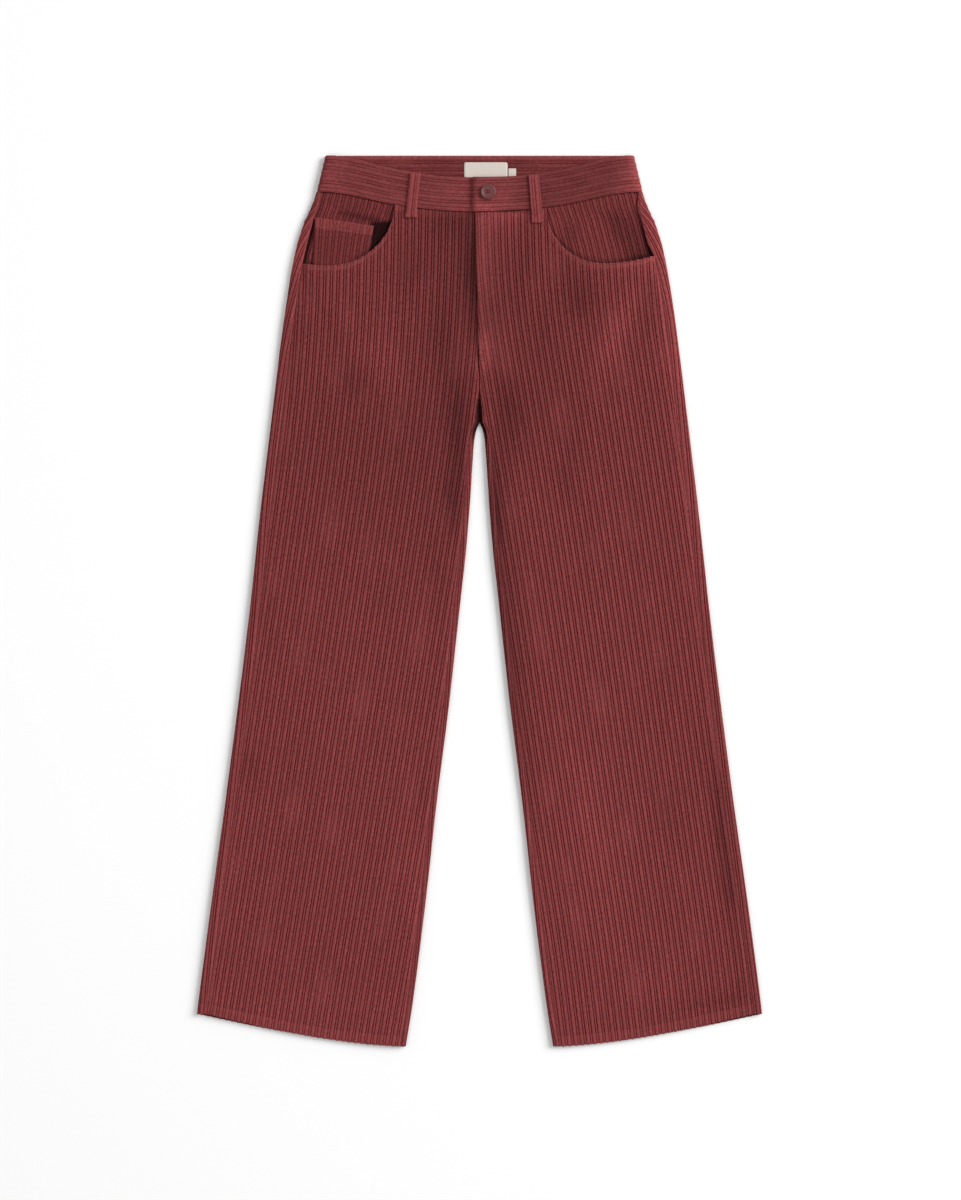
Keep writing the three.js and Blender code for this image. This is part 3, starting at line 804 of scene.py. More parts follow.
@dataclass
class FrontPanel:
    """One front panel, from the waist seam and pocket mouth to the hem."""

    side: Side
    block: Block
    wales: Wales
    hem: Hem
    thickness: float = 1.0
    rows: Rows = Rows(
        lead=(0, 0.3, 0.8, 1.5, 2.4, 4, 5.6, 6.4, 7.2, 8.4, 11),
        trail=(17, 14, 13, 12.4, 12, 11.6, 11, 9.5, 6, 3.2, 1.6, 0.8, 0.3, 0),
        first=147,
        upper=7,
    )
    mouth_edge: float = 1.5
    mouth_stitch: float = 6.4
    mouth_dent: float = 0.45
    fly_edge: float = 1.2
    seam_dent: float = 1.0
    seam_width: float = 1.6
    waist_dent: float = 0.8
    waist_width: float = 2.0
    free: float = 14
    unevenness: float = 0.25

    def at_mouth(self, x: Field) -> Field:
        """Return 1 where the upper edge is the pocket's mouth and 0 where it is the waist seam."""
        return smooth(-4, 4, x - SCOOPS[self.side].inner)

    def across(self, wale: Field, drop: Field) -> Field:
        """Return where a fabric place lies, held between the panel's two edges."""
        x = GRAINS[self.side].across(wale, drop)
        return np.clip(x, self.block.front_inner(self.side, drop), self.block.front_outer(drop))

    def share(self, wale: Field, drop: Field) -> Field:
        """Return how far across the panel a fabric place lies."""
        inner = self.block.front_inner(self.side, drop)
        return (self.across(wale, drop) - inner) / (self.block.front_outer(drop) - inner)

    def surface(self, x: Field, drop: Field) -> Field:
        """Return the height of the wale tops, with the panel's seams, edges and stitching."""
        block = self.block
        top = block.front_top(self.side, x)
        inner = x - block.front_inner(self.side, drop)
        outer = block.front_outer(drop) - x
        at_mouth = self.at_mouth(x)
        at_fly = block.fly.beside(drop)
        free = smooth(0, self.free, outer) * smooth(0, self.free, inner)
        creases = lift_of(CREASES[self.side], x, drop)
        uneven = self.unevenness * ripple(self.side.value * x, drop, 1.3)
        seams = dent(outer, self.seam_width) + dent(inner, self.seam_width) * (1 - at_fly)
        height = block.front_height(self.side, x, drop) + (creases + uneven) * free
        height = height - self.seam_dent * seams - roll_off(inner, self.fly_edge) * at_fly
        height = height - at_mouth * roll_off(drop - top, self.mouth_edge)
        height = height - at_mouth * self.mouth_dent * dent(drop - top - self.mouth_stitch, 0.8)
        height = height - (1 - at_mouth) * self.waist_dent * dent(drop - top, self.waist_width)
        share = np.clip(inner / (inner + outer), 0, 1)
        return height + self.hem.lift(block.hem(share) - drop)

    def worn(self, x: Field, drop: Field) -> tuple[Field, Field]:
        """Return how near each place is to a seam, and how flat its pile is pressed."""
        block = self.block
        below = drop - block.front_top(self.side, x)
        inner = x - block.front_inner(self.side, drop)
        outer = block.front_outer(drop) - x
        at_fly = block.fly.beside(drop)
        seam = np.maximum(at_seam(outer), (1 - at_fly) * at_seam(inner))
        at_mouth = self.at_mouth(x)
        mouth = at_mouth * (1 - smooth(5.2, 8.2, below))
        waist = (1 - at_mouth) * 0.5 * (1 - smooth(2, 12, below))
        flap = at_fly * (1 - smooth(10, 36, inner)) * (0.55 if self.side is Side.LEFT else 0.2)
        hem = 0.3 * (1 - smooth(11, 13, block.hem(inner / np.maximum(inner + outer, 1)) - drop))
        patches = brushed_flat(x, drop, 4.1)
        pressed = np.max([seam * 0.7, mouth * 0.8, waist, flap, hem, patches], axis=0)
        return seam, np.clip(pressed, 0, 1)

    def build(self, builder: ClothBuilder) -> bpy.types.Object:
        """Lay the panel's cloth."""
        block = self.block
        drops = np.arange(60.0, LENGTH, 5.0)
        grain = GRAINS[self.side]
        inner = grain.wale(block.front_inner(self.side, drops), drops)
        outer = grain.wale(block.front_outer(drops), drops)
        columns = self.wales.columns(inner.min() - 0.5, outer.max() + 0.5)
        tops = settle(
            lambda drop: block.front_top(self.side, self.across(columns, drop)), 60.0, len(columns)
        )
        bottoms = settle(lambda drop: block.hem(self.share(columns, drop)), 1000.0, len(columns))

        def place(wale: Field, row: Field) -> Spots:
            """Place vertices from their wales and rows."""
            order = np.searchsorted(columns, wale)
            drop = self.rows.drops(row, tops[order], bottoms[order])
            x = self.across(wale, drop)
            fabric = grain.wale(x, drop)
            seam, crush = self.worn(x, drop)
            pile = mix(self.wales.pile(fabric), 0.55, seam)
            z = self.surface(x, drop) - self.wales.depth * (1 - pile) * (1 - 0.45 * crush)
            lowest = scallop(bottoms[order] - drop, 0.6, pile)
            highest = self.at_mouth(x) * scallop(drop - tops[order], 0.5, pile)
            drop = drop + lowest - highest
            # Tone: uneven nap with painted shade from the patches, and painted light and shade by the
            # edges.
            tone = nap_and_shade_tone_at(self.side, x, drop) + painted_edge_light_and_shade(block, self.side, x, drop)
            return Spots(self.side.value * x, drop, z, fabric, drop, crush, tone)

        piece = builder.grid(f"front_panel_{self.side.word}", columns, self.rows.count(), place, UP)
        builder.thicken(piece, self.thickness)
        return piece


@dataclass
class BackPanel:
    """One back panel: flat on the floor, and turned up and over at the side and the inseam."""

    side: Side
    block: Block
    wales: Wales
    hem: Hem
    thickness: float = 1.0
    top: float = 42.3
    wall: float = 14
    closed: float = 0.12
    slack: float = 0.0
    seam_dent: float = 0.9
    seam_width: float = 1.5
    centre_width: float = 1.4
    rows: Rows = Rows(
        lead=(0, 0.5, 1.4, 3, 6),
        trail=(17, 14, 13, 12.4, 12, 11.6, 11, 9.5, 6, 3.2, 1.6, 0.8, 0.3, 0),
        first=66,
        upper=1,
    )

    def roll(self, wrap: Field) -> Field:
        """Return the radius of a turned-up edge, seen from above."""
        return np.clip(wrap - self.block.gap, 0.05, self.block.roll)

    def turned(self, beyond: Field, wrap: Field, height: Field) -> tuple[Field, Field, Field]:
        """Follow the cloth up and over a turned-up edge.

        Args:
            beyond: How far along the cloth each place is past the start of the roll.
            wrap: How wide the turned-over cloth shows from above.
            height: How high its wale tops lie.

        Returns:
            How far out from the start of the roll, how high, and how much cloth is left
            before the seam.
        """
        roll = self.roll(wrap)
        arc = math.pi * np.sqrt((roll**2 + (height / 2) ** 2) / 2)
        whole = arc + wrap - roll
        beyond = np.clip(beyond, 0, whole)
        angle = np.clip(beyond / arc, 0, 1) * math.pi - math.pi / 2
        out = roll * np.cos(angle) - np.maximum(0, beyond - arc)
        up = height / 2 * (1 + np.sin(angle))
        return out, up, whole - beyond

    def bottom(self, wale: Field, drop: Field) -> Field:
        """Return the hem's drop for fabric places near a drop."""
        inner = self.block.inner_edge(drop)
        share = (GRAINS[self.side].across(wale, drop) - inner) / (self.block.side_edge(drop) - inner)
        return self.block.hem(np.clip(share, 0, 1))

    def spots(self, wale: Field, drop: Field) -> Spots:
        """Place fabric spots round the panel's section."""
        block = self.block
        flat = GRAINS[self.side].across(wale, drop)
        slack = self.slack * smooth(44, 62, drop) * (1 - smooth(100, 120, drop))
        side_wrap = block.side_wrap(drop) + slack
        inner_wrap = block.inseam_wrap(drop)
        has_inseam = smooth(268, 283, drop)
        start = block.side_edge(drop) - self.roll(side_wrap)
        end = block.inner_edge(drop) + self.roll(inner_wrap) * has_inseam
        middle = (flat <= start) & (flat >= end)
        out, up, left = self.turned(flat - start, side_wrap, np.full_like(flat, block.seam_top))
        reach = block.seam_top * has_inseam
        inner_out, inner_up, inner_left = self.turned(end - flat, inner_wrap, np.maximum(reach, 0.1))
        seam = np.maximum(at_seam(left), has_inseam * at_seam(inner_left))
        pile = mix(self.wales.pile(wale), 0.55, seam)
        sunk = self.wales.depth * (1 - pile)
        side_dent = self.seam_dent * dent(left, self.seam_width)
        side_x = start + out - sunk * np.clip(np.cos(math.pi * (up / block.seam_top - 0.5)), 0, 1)
        side_z = mix(sunk, block.seam_top - sunk - side_dent, up / block.seam_top)
        inner_dent = self.seam_dent * dent(inner_left, self.seam_width) * has_inseam
        valley = 1 - smooth(block.crotch_fold, block.crotch_fold + 30, drop)
        tip = end - inner_out
        cloth_end = np.maximum(end - flat + inner_left, 0.1)
        slit = np.clip((end - flat) / cloth_end, 0, 1)
        stops = [0, 0.2, 0.5, 0.7, 1]
        near = np.interp(slit, stops, [0, 1, 1, 0.3, 0])
        wall = np.where(slit < 0.2, self.roll(inner_wrap), inner_wrap)
        meeting = block.inner_edge(drop) - self.closed
        inner_x = mix(tip, meeting + wall * (1 - near), valley) + sunk * 0.3 * (1 - valley)
        rolled_up = inner_up / np.maximum(reach, 0.1)
        raised = mix(rolled_up, np.interp(slit, stops, [0, 0.1, 0.35, 0.92, 1]), valley)
        inner_z = mix(sunk, np.maximum(reach - sunk - inner_dent, sunk), raised)
        x = np.where(middle, flat, np.where(flat > start, side_x, inner_x))
        z = np.where(middle, sunk, np.where(flat > start, side_z, inner_z))
        centre = (1 - has_inseam) * self.seam_dent * dent(x, self.centre_width)
        before_hem = self.bottom(wale, drop) - drop
        hem = self.hem.lift(before_hem)
        turned_up = np.where(flat > start, 2 * up / block.seam_top - 1, inner_up / 3.5 - 1)
        side_up = np.where(middle, -1.0, turned_up)
        shift = np.where(side_up > 0, hem, np.minimum(hem, 0)) * side_up
        ended = drop + scallop(before_hem, 0.6, pile)
        crush = np.maximum(0.7 * seam, brushed_flat(x, drop, 2.2))
        # The cloth deep in the crotch slit is painted in shade, and by the edges it takes painted light
        # and shade.
        shaded = -2.1 * valley * (1 - smooth(0.7, 0.9, slit))
        tone = np.where(flat < end, shaded, 0.0) + painted_edge_light_and_shade(block, self.side, x, drop)
        height = np.maximum(z + centre + shift, 0.0)
        return Spots(self.side.value * x, ended, height, wale, drop, crush, tone)

    def build(self, builder: ClothBuilder) -> bpy.types.Object:
        """Lay the panel's cloth."""
        drops = np.arange(45.0, LENGTH, 5.0)
        grain = GRAINS[self.side]
        inner = grain.wale(self.block.inner_edge(drops), drops) - self.wall * smooth(260, 283, drops)
        outer = grain.wale(self.block.side_edge(drops) + self.wall + 2, drops)
        columns = self.wales.columns(inner.min(), outer.max())
        bottoms = settle(lambda drop: self.bottom(columns, drop), 1000.0, len(columns))

        def place(wale: Field, row: Field) -> Spots:
            """Place vertices from their wales and rows."""
            order = np.searchsorted(columns, wale)
            drop = self.rows.drops(row, np.full(len(wale), self.top), bottoms[order])
            return self.spots(wale, drop)

        name = f"back_panel_{self.side.word}"
        piece = builder.grid(name, columns, self.rows.count(), place, DOWN)
        builder.thicken(piece, self.thickness)
        return piece


@dataclass
class Waistband:
    """The waistband: cloth folded double at its top edge, its left end over its right."""

    block: Block
    wales: Wales
    cloth: float = 3.6
    top: float = 8.8
    side_top: float = 177.5
    side_seam: float = 187.5
    back_seam: float = 42
    bulge: float = 4.6
    depth: float = 0.8
    lap_end: float = -8
    under_end: float = 22
    lap_lift: float = 3.9
    lift_near: float = 26
    lift_far: float = 78
    width: float = 40
    step: float = 6
    fold: float = 1.7
    layer: float = 1.0

    def height(self, side: Side, x: Field) -> Field:
        """Return how high the front of the band lies."""
        if side is Side.RIGHT:
            return np.full_like(np.asarray(x, dtype=float), self.top)
        return self.top + self.lap_lift * (1 - smooth(self.lift_near, self.lift_far, x))

    def path(self, run: Field) -> tuple[Field, Field, Field]:
        """Follow the band from its left end round the back to its right end.

        Args:
            run: Distances along the band.

        Returns:
            The side's sign, the place counted to that side, and the turn: 1 on the front
            and -1 on the back.
        """
        end = self.side_seam - self.bulge
        arc = math.pi * self.bulge
        stops = np.cumsum([end - self.lap_end, arc, end, end, arc])
        sign = np.where(run < stops[2], 1.0, -1.0)
        x = np.select(
            [run < stops[0], run < stops[1], run < stops[2], run < stops[3], run < stops[4]],
            [run + self.lap_end, end, stops[2] - run, run - stops[2], end],
            end - (run - stops[4]),
        )
        turn = np.select(
            [run < stops[0], run < stops[1], run < stops[3], run < stops[4]],
            [1.0, 1 - 2 * (run - stops[0]) / arc, -1.0, 2 * (run - stops[3]) / arc - 1],
            1.0,
        )
        return sign, x, turn

    def length(self) -> float:
        """Return the band's length from end to end."""
        end = self.side_seam - self.bulge
        return 4 * end + 2 * math.pi * self.bulge - self.lap_end + self.under_end

    def at(self, run: Field, down: Field, inset: Field) -> tuple[Field, Field, Field]:
        """Return x, drop and z of places on the band.

        Args:
            run: Distances along the band.
            down: Distances down its face, from 0 to its width.
            inset: Distances in from its outer face.
        """
        block = self.block
        sign, x, turn = self.path(run)
        share = down / self.width
        end = self.side_seam - self.bulge
        tops = (self.side_top - self.bulge) / end
        round_share = np.clip((1 - turn) / 2, 0, 1)
        upper = mix(block.waist_top(np.abs(x)), 0, round_share)
        lower = mix(block.waist_seam(np.abs(x)), self.back_seam, round_share)
        angle = turn * math.pi / 2
        across = x * mix(tops, 1, share) + (self.bulge - inset) * np.cos(angle)
        lifted = np.where(sign > 0, self.height(Side.LEFT, x), self.top)
        round_up = self.top / 2 + (self.top / 2 - inset) * np.sin(angle)
        z = np.where(turn >= 1, lifted - inset, round_up)
        return sign * across, mix(upper, lower, share), z

    def section(self) -> tuple[Field, Field, Field]:
        """Return the band's section as a loop: down its face, inset and pile."""
        face = self.wales.columns(self.fold, self.width - 0.8)
        pile = self.wales.pile(face)
        angles = np.radians([-60, -30, 0, 30, 60])
        middle = self.cloth / 2
        fold_down = self.fold * (1 - np.cos(angles))
        fold_in = middle - middle * np.sin(angles)
        down = np.concatenate([face, [self.width, self.width], face[::-1], fold_down])
        inner = self.cloth - self.depth * 0.7 * (1 - pile[::-1])
        inset = np.concatenate([self.depth * (1 - pile), [0.9, self.cloth - 0.9], inner, fold_in])
        wale = np.concatenate([face, [self.width, self.width + 2], face[::-1] - 1, fold_down])
        return down, inset, wale

    def tone(self, x: Field, down: Field, inside: Field) -> Field:
        """Return the band's tone: painted light where its left end turns towards the key light, painted
        shade on the back's inner face that shows at the top with a lighter line at its fold, lighter near
        the lower edge and by the fly, and darker along most of the front.

        Args:
            x: Places counted from the middle, positive on the left.
            down: Distances down the face.
            inside: Whether each place is on the back's inner face, which shows at the top.
        """
        off = np.abs(x)
        middle = smooth(20, 60, off) * (1 - smooth(145, 172, off))
        tone = np.where(x > 0, -0.65, -0.28) * middle
        tone = tone + np.where(x > 0, 0.75, 0.1) * smooth(165, 182, off)
        tone = tone + 0.2 * (1 - smooth(0, 8, np.abs(down - self.width))) - 0.1
        lap = 0.7 * (1 - smooth(8, 34, off)) * smooth(20, 40, down)
        tone = tone + np.where((x > -12) & (off < 60), lap, 0.0)
        return np.where(inside, -0.38 - 0.25 * dent(off - 45, 26) + 0.5 * dent(down, 3.5), tone)

    def build(self, builder: ClothBuilder) -> bpy.types.Object:
        """Lay the band as a closed tube of cloth and close its two ends."""
        down, inset, wale = (np.append(part, part[0]) for part in self.section())
        count = math.ceil(self.length() / self.step)
        runs = np.linspace(0, self.length(), count + 1)

        def place(column: Field, row: Field) -> Spots:
            """Place vertices from their section points and stations."""
            point = np.rint(column).astype(int)
            run = runs[row]
            x, drop, z = self.at(run, down[point], inset[point])
            on_floor = self.path(run)[2] <= -1
            z = np.where(on_floor, np.maximum(z, 0), z)
            inside = (inset[point] > self.cloth / 2) & on_floor
            worn = np.where(inside, 0.25, 0.66) + 0.4 * ripple(run * 1.9, down[point] * 5.0, 0.7)
            ends = 1 - smooth(2, 7, np.minimum(run, self.length() - run))
            edges = 1 - smooth(2.5, 5, np.minimum(down[point], self.width - down[point]))
            crush = np.clip(np.max([worn, 0.7 * ends, 0.8 * edges], axis=0), 0, 1)
            tone = self.tone(x, down[point], inside)
            return Spots(x, drop, z, wale[point], run, crush, tone)

        piece = builder.grid("waistband_cloth", np.arange(len(down)), len(runs), place, UP)
        builder.close_ends(piece)
        builder.thicken(piece, self.layer)
        return piece


@dataclass
class PocketFacing:
    """The corduroy that shows inside a pocket's mouth."""

    side: Side
    block: Block
    wales: Wales
    under: float = 16
    top: float = 4.1
    tuck: float = 3
    clear: float = 3.9
    thickness: float = 0.9
    depth: float = 0.8
    shade: float = 1.1
    shade_reach: float = 9
    lip: float = 0.0
    side_shade: float = 2.2
    tuck_rise: float = 2.2
    rows: int = 26

    def shadow(self, x: Field, drop: Field) -> Field:
        """Return the tone of the hollows inside the pocket."""
        if self.side is Side.LEFT:
            slope = 0.7 * dent(x - 150 - 0.5 * (drop - 60), 14)
            slope = slope + 0.5 * dent(x - 176 - 0.3 * (drop - 65), 9)
            return -slope * smooth(52, 75, drop) - 0.5 * dent(x - 103, 12) * dent(drop - 92, 22)
        hollow = -1.9 * smooth(72, 79, drop) * (1 - smooth(120, 130, x))
        reach = smooth(108, 118, x) * (1 - smooth(150, 172, x))
        return np.minimum(hollow, -0.9 * dent(drop - 66 - 0.2 * (160 - x), 4.5) * reach)

    def edge(self, drop: Field) -> Field:
        """Return where the facing's outer edge lies, under the side seam."""
        seam = self.block.side_seam(drop) + self.tuck
        return np.minimum(seam, self.block.side_edge(drop) - self.clear)

    def width(self) -> float:
        """Return how far the facing reaches in from its outer edge."""
        scoop = SCOOPS[self.side]
        return float(self.edge(np.array(scoop.top))) - (scoop.inner - self.under)

    def build(self, builder: ClothBuilder) -> bpy.types.Object:
        """Lay the facing's cloth, its wales beside the side seam."""
        block = self.block
        columns = self.wales.columns(0, self.width())

        def line(wale: Field, drop: Field) -> Field:
            """Return where a fabric place lies at a drop."""
            return self.edge(drop) - (self.width() - wale)

        tops = settle(
            lambda drop: block.waist_seam(line(columns, drop)) + block.gap, 60.0, len(columns)
        )
        bottoms = settle(
            lambda drop: block.front_top(self.side, line(columns, drop)) + self.under,
            60.0,
            len(columns),
        )

        def place(wale: Field, row: Field) -> Spots:
            """Place vertices from their wales and rows."""
            order = np.searchsorted(columns, wale)
            drop = mix(tops[order], bottoms[order], row / (self.rows - 1))
            x = line(wale, drop)
            pile = self.wales.pile(wale)
            outer = self.edge(drop) - self.tuck - x
            # The wedge by the side seam: the cloth sinks there, and its shade is painted on below.
            wedge = (1 - smooth(self.lip + 0.5, self.lip + 6.5, outer)) * smooth(56, 90, drop)
            z = self.top - self.depth * (1 - pile) - 1.2 * dent(outer, 3.5) - 0.8 * wedge
            scoop = SCOOPS[self.side]
            under = block.front_top(self.side, x) - drop
            beside = self.side_shade * (x - scoop.inner)
            shade = self.shade * (1 - smooth(0, self.shade_reach, np.minimum(under, beside)))
            crush = 0.25 + 0.3 * smooth(0.1, 0.8, ripple(x, drop, 3.3))
            # The facing is painted darker all over, as shade inside the pocket, and darker still under
            # the mouth's edge, in the wedge and in the hollows: all painted shade.
            base = -0.25 if self.side is Side.LEFT else -0.4
            tone = base - np.maximum(0.75 * shade, 1.6 * wedge) + self.shadow(x, drop)
            z = z + self.tuck_rise * (1 - smooth(0, 14, drop - tops[order]))
            return Spots(self.side.value * x, drop, z, wale, drop, crush, tone)

        piece = builder.grid(f"pocket_lining_{self.side.word}", columns, self.rows, place, UP)
        builder.thicken(piece, self.thickness)
        return piece


@dataclass
class CoinPocket:
    """The small square pocket on the right facing."""

    block: Block
    wales: Wales
    outer: float = 188.5
    outer_run: float = 0.05
    inner: float = 121
    inner_run: float = 0.2
    top_outer: float = 71
    top_inner: float = 81
    bottom: float = 130
    base: float = 4.4
    rise: float = 1.5
    thickness: float = 0.7
    depth: float = 0.6
    hem: float = 13
    rows: int = 26

    def edges(self, drop: Field) -> tuple[Field, Field]:
        """Return where the pocket's inner and outer edges lie at a drop."""
        inner = self.inner + self.inner_run * (drop - self.top_inner)
        outer = self.outer + self.outer_run * (drop - self.top_outer)
        return inner, outer

    def surface(self, x: Field, drop: Field) -> Field:
        """Return the height of the wale tops on the pocket."""
        inner, outer = self.edges(drop)
        share = np.clip((x - inner) / (outer - inner), 0, 1)
        below = drop - mix(self.top_inner, self.top_outer, share)
        height = self.base + self.rise - 0.3 * dent(below - self.hem, 0.9)
        return height - roll_off(below, 0.9) - roll_off(x - inner, 0.9)

    def build(self, builder: ClothBuilder) -> bpy.types.Object:
        """Lay the pocket's cloth."""
        width = self.outer - self.inner
        length = self.bottom - self.top_outer
        columns = np.union1d(self.wales.columns(0, width), [0.25, 0.6, 1.0])
        near = np.array([0, 0.2, 0.5, 0.9, 3, 8, 11, 12, 12.6, 13, 13.4, 14, 15])
        even = np.linspace(18, length, self.rows - len(near))
        downs = np.concatenate([near, even]) / length

        def place(wale: Field, row: Field) -> Spots:
            """Place vertices from their wales and rows."""
            share = wale / width
            drop = mix(mix(self.top_inner, self.top_outer, share), self.bottom, downs[row])
            x = mix(*self.edges(drop), share)
            pile = self.wales.pile(wale)
            below = downs[row] * length
            folded = 1 - smooth(self.hem - 1, self.hem + 1, below)
            crush = np.clip(0.25 + 0.4 * folded + 0.3 * (1 - smooth(0.5, 2.5, below)), 0, 1)
            z = self.surface(x, drop) - self.depth * (1 - pile) * (1 - 0.5 * crush)
            # Below its folded hem the pocket is painted darker, as shade, and darker still under the
            # mouth's edge: painted shade.
            under = self.block.front_top(Side.RIGHT, x) - drop
            shade = 0.7 * (1 - smooth(0, 9, under)) * smooth(-160, -125, -x)
            tone = mix(-0.55, -0.05, folded) - shade
            return Spots(-x, drop, z, wale, drop, crush, tone)

        piece = builder.grid("coin_pocket_cloth", columns, self.rows, place, UP)
        builder.thicken(piece, self.thickness)
        return piece


@dataclass
class BeltLoop:
    """A belt loop, over the waistband and down to the panel below it."""

    name: str
    side: Side
    block: Block
    band: Waistband
    x: float
    to_x: float
    drop: float
    to_drop: float
    width: float = 12.5
    cloth: float = 2.4
    fall: float = 9
    groove: float = 0.7
    layer: float = 0.7
    length: float = 50
    edge: float = 1.6
    steps: int = 30

    def base(self, middle: Field, down: Field) -> Field:
        """Return the height of the loop's underside along its length."""
        block = self.block
        seam = block.waist_seam(middle)
        fallen = smooth(0, 1, (down - seam - 1) / (self.fall - 1))
        lower = np.maximum(down, seam + 1)
        offs = (-self.width / 2, 0.0, self.width / 2)
        panel = np.max([block.front_height(self.side, middle + off, lower) for off in offs], axis=0)
        over = np.max([self.band.height(self.side, middle + off) for off in offs], axis=0)
        return mix(over, panel, fallen) + block.gap

    def crest(self, share: Field, across: Field) -> tuple[Field, Field, Field]:
        """Return x, drop and the top height of places on the loop."""
        middle = mix(self.x, self.to_x, share)
        down = mix(self.drop, self.to_drop, share)
        return self.side.value * (middle + across), down, self.base(middle, down) + self.cloth

    def build(self, builder: ClothBuilder) -> bpy.types.Object:
        """Lay the loop as a flat closed tube, folded round at its sides."""
        half = self.width / 2
        outer = [5.95, 5.6, 5.1, 4.4, 3.9, 3.4, 2.4, 1.2, 0.5]
        faces = np.array([-half, *[-place for place in outer], 0.0, *outer[::-1], half])
        dips = self.groove * (dent(faces, 0.6) + 0.5 * dent(np.abs(faces) - 3.9, 0.5))
        tops = -dips - roll_off(half - np.abs(faces), self.edge)
        across = np.concatenate([faces, [half, half - 0.6], [-half + 0.6, -half], faces[:1]])
        under = self.cloth
        ups = np.concatenate([tops, [-under + 0.5, -under], [-under, -under + 0.5], tops[:1]])

        def place(column: Field, row: Field) -> Spots:
            """Place vertices from their section points and stations."""
            point = np.rint(column).astype(int)
            share = row / self.steps
            flare = 1 + 0.1 * smooth(0.84, 0.93, share)
            x, drop, z = self.crest(share, across[point] * flare)
            from_end = np.minimum(share, 1 - share) * self.length
            ends = roll_off(from_end + 0.2, self.edge)
            z = z + ups[point] - np.where(ups[point] > -1.9, ends, 0)
            crush = 0.35 + 0.3 * (1 - smooth(2, 5, from_end))
            return Spots(x, drop, z, across[point], drop, crush, 0.3)

        piece = builder.grid(self.name, np.arange(len(across)), self.steps + 1, place, UP)
        builder.close_ends(piece)
        builder.thicken(piece, self.layer)
        return piece


@dataclass
class Tag:
    """A blank woven tag on the inside of the back waistband."""

    name: str
    x: float
    width: float
    drop: float
    length: float
    z: float = 3.9
    cloth: float = 0.6
    selvedge: float = 1.6
    corner: float = 2.2
    rows: int = 17

    def build(self, builder: ClothBuilder) -> bpy.types.Object:
        """Lay the tag as a thin sheet, gently rippled, narrowed to rounded corners at its top end."""
        columns = np.linspace(-self.width / 2, self.width / 2, 25)

        def place(across: Field, row: Field) -> Spots:
            """Place vertices from their places across and down."""
            down = (row / (self.rows - 1)) ** 1.7 * self.length
            bow = np.sin(across / self.width * 5.1 + 0.6) * np.sin(down / self.length * math.pi)
            z = self.z + self.cloth + 0.1 + 0.075 * bow
            narrowed = across * (1 - roll_off(down, self.corner) / (self.width / 2))
            return Spots(narrowed + self.x, down + self.drop, z, narrowed, down)

        piece = builder.grid(self.name, columns, self.rows, place, UP)
        builder.thicken(piece, self.cloth)
        return piece


@dataclass
class Button:
    """A four-hole button with a raised rim."""

    x: float = 10
    drop: float = 43
    z: float = 13.0
    hole: float = 0.8
    hole_at: float = 1.8
    hole_sides: int = 16
    sides: int = 56
    profile: tuple[tuple[float, float], ...] = (
        (5.2, 2.45),
        (5.9, 2.55),
        (6.4, 2.8),
        (6.9, 3.08),
        (7.4, 3.15),
        (8.0, 3.08),
        (8.5, 2.8),
        (8.9, 2.2),
        (9.0, 1.6),
        (8.8, 0.9),
        (8.2, 0.35),
        (7.2, 0.0),
    )
    thread_offsets: tuple[float, ...] = (-0.35, 0.0, 0.35)
    thread_up: float = 2.5

    def ring(
        self, shape: bmesh.types.BMesh, centre: Vector, radius: float, sides: int
    ) -> list[bmesh.types.BMEdge]:
        """Add a level ring round a centre in metres and return its edges."""
        spot = Matrix.Translation(centre)
        made = bmesh.ops.create_circle(shape, segments=sides, radius=radius * MM, matrix=spot)
        return self.edges_of(made["verts"])

    def holes(self, shape: bmesh.types.BMesh, centre: Vector) -> list[bmesh.types.BMEdge]:
        """Add the rings of the four holes and return their edges, hole by hole."""
        edges = []
        for quarter in range(4):
            angle = (quarter + 0.5) * math.pi / 2
            off = Vector((math.cos(angle), math.sin(angle), 0)) * self.hole_at * MM
            edges += self.ring(shape, centre + off, self.hole, self.hole_sides)
        return edges

    def build(self, builder: ClothBuilder) -> bpy.types.Object:
        """Make the button from rings, from the dish round the rim to the back, with four holes."""
        shape = bmesh.new()
        centre = builder.point(self.x, self.drop, self.z)
        rings = []
        for radius, up in self.profile:
            rings.append(self.ring(shape, centre + Vector((0, 0, up * MM)), radius, self.sides))
        for upper, lower in zip(rings, rings[1:]):
            bmesh.ops.bridge_loops(shape, edges=upper + lower)
        ends = []
        for up, rim in ((self.profile[0][1], rings[0]), (0.0, rings[-1])):
            holes = self.holes(shape, centre + Vector((0, 0, up * MM)))
            bmesh.ops.triangle_fill(shape, use_beauty=True, edges=rim + holes)
            ends.append(holes)
        for first in range(0, 4 * self.hole_sides, self.hole_sides):
            span = slice(first, first + self.hole_sides)
            bmesh.ops.bridge_loops(shape, edges=ends[0][span] + ends[1][span])
        bmesh.ops.recalc_face_normals(shape, faces=shape.faces)
        for face in shape.faces:
            face.smooth = abs(face.normal.z) < 0.999
        return mesh_piece("waist_button", shape)

    @staticmethod
    def edges_of(verts: Iterable[bmesh.types.BMVert]) -> list[bmesh.types.BMEdge]:
        """Return the edges of a loop of vertices, each once."""
        found: dict[int, bmesh.types.BMEdge] = {}
        for vert in verts:
            for edge in vert.link_edges:
                found[id(edge)] = edge
        return list(found.values())

    def thread(self, builder: ClothBuilder) -> bpy.types.Object:
        """Sew the button on: two short bars of thread across its holes."""
        shape = bmesh.new()
        reach = self.hole_at * math.sqrt(0.5)
        up = self.z + self.thread_up
        for bar in (-reach, reach):
            for off in self.thread_offsets:
                drop = self.drop + bar + off
                start = builder.point(self.x - reach, drop, up)
                end = builder.point(self.x + reach, drop, up)
                add_stitch(shape, start, end, 0.42, 0.5)
        soften(shape)
        return mesh_piece("button_thread", shape)


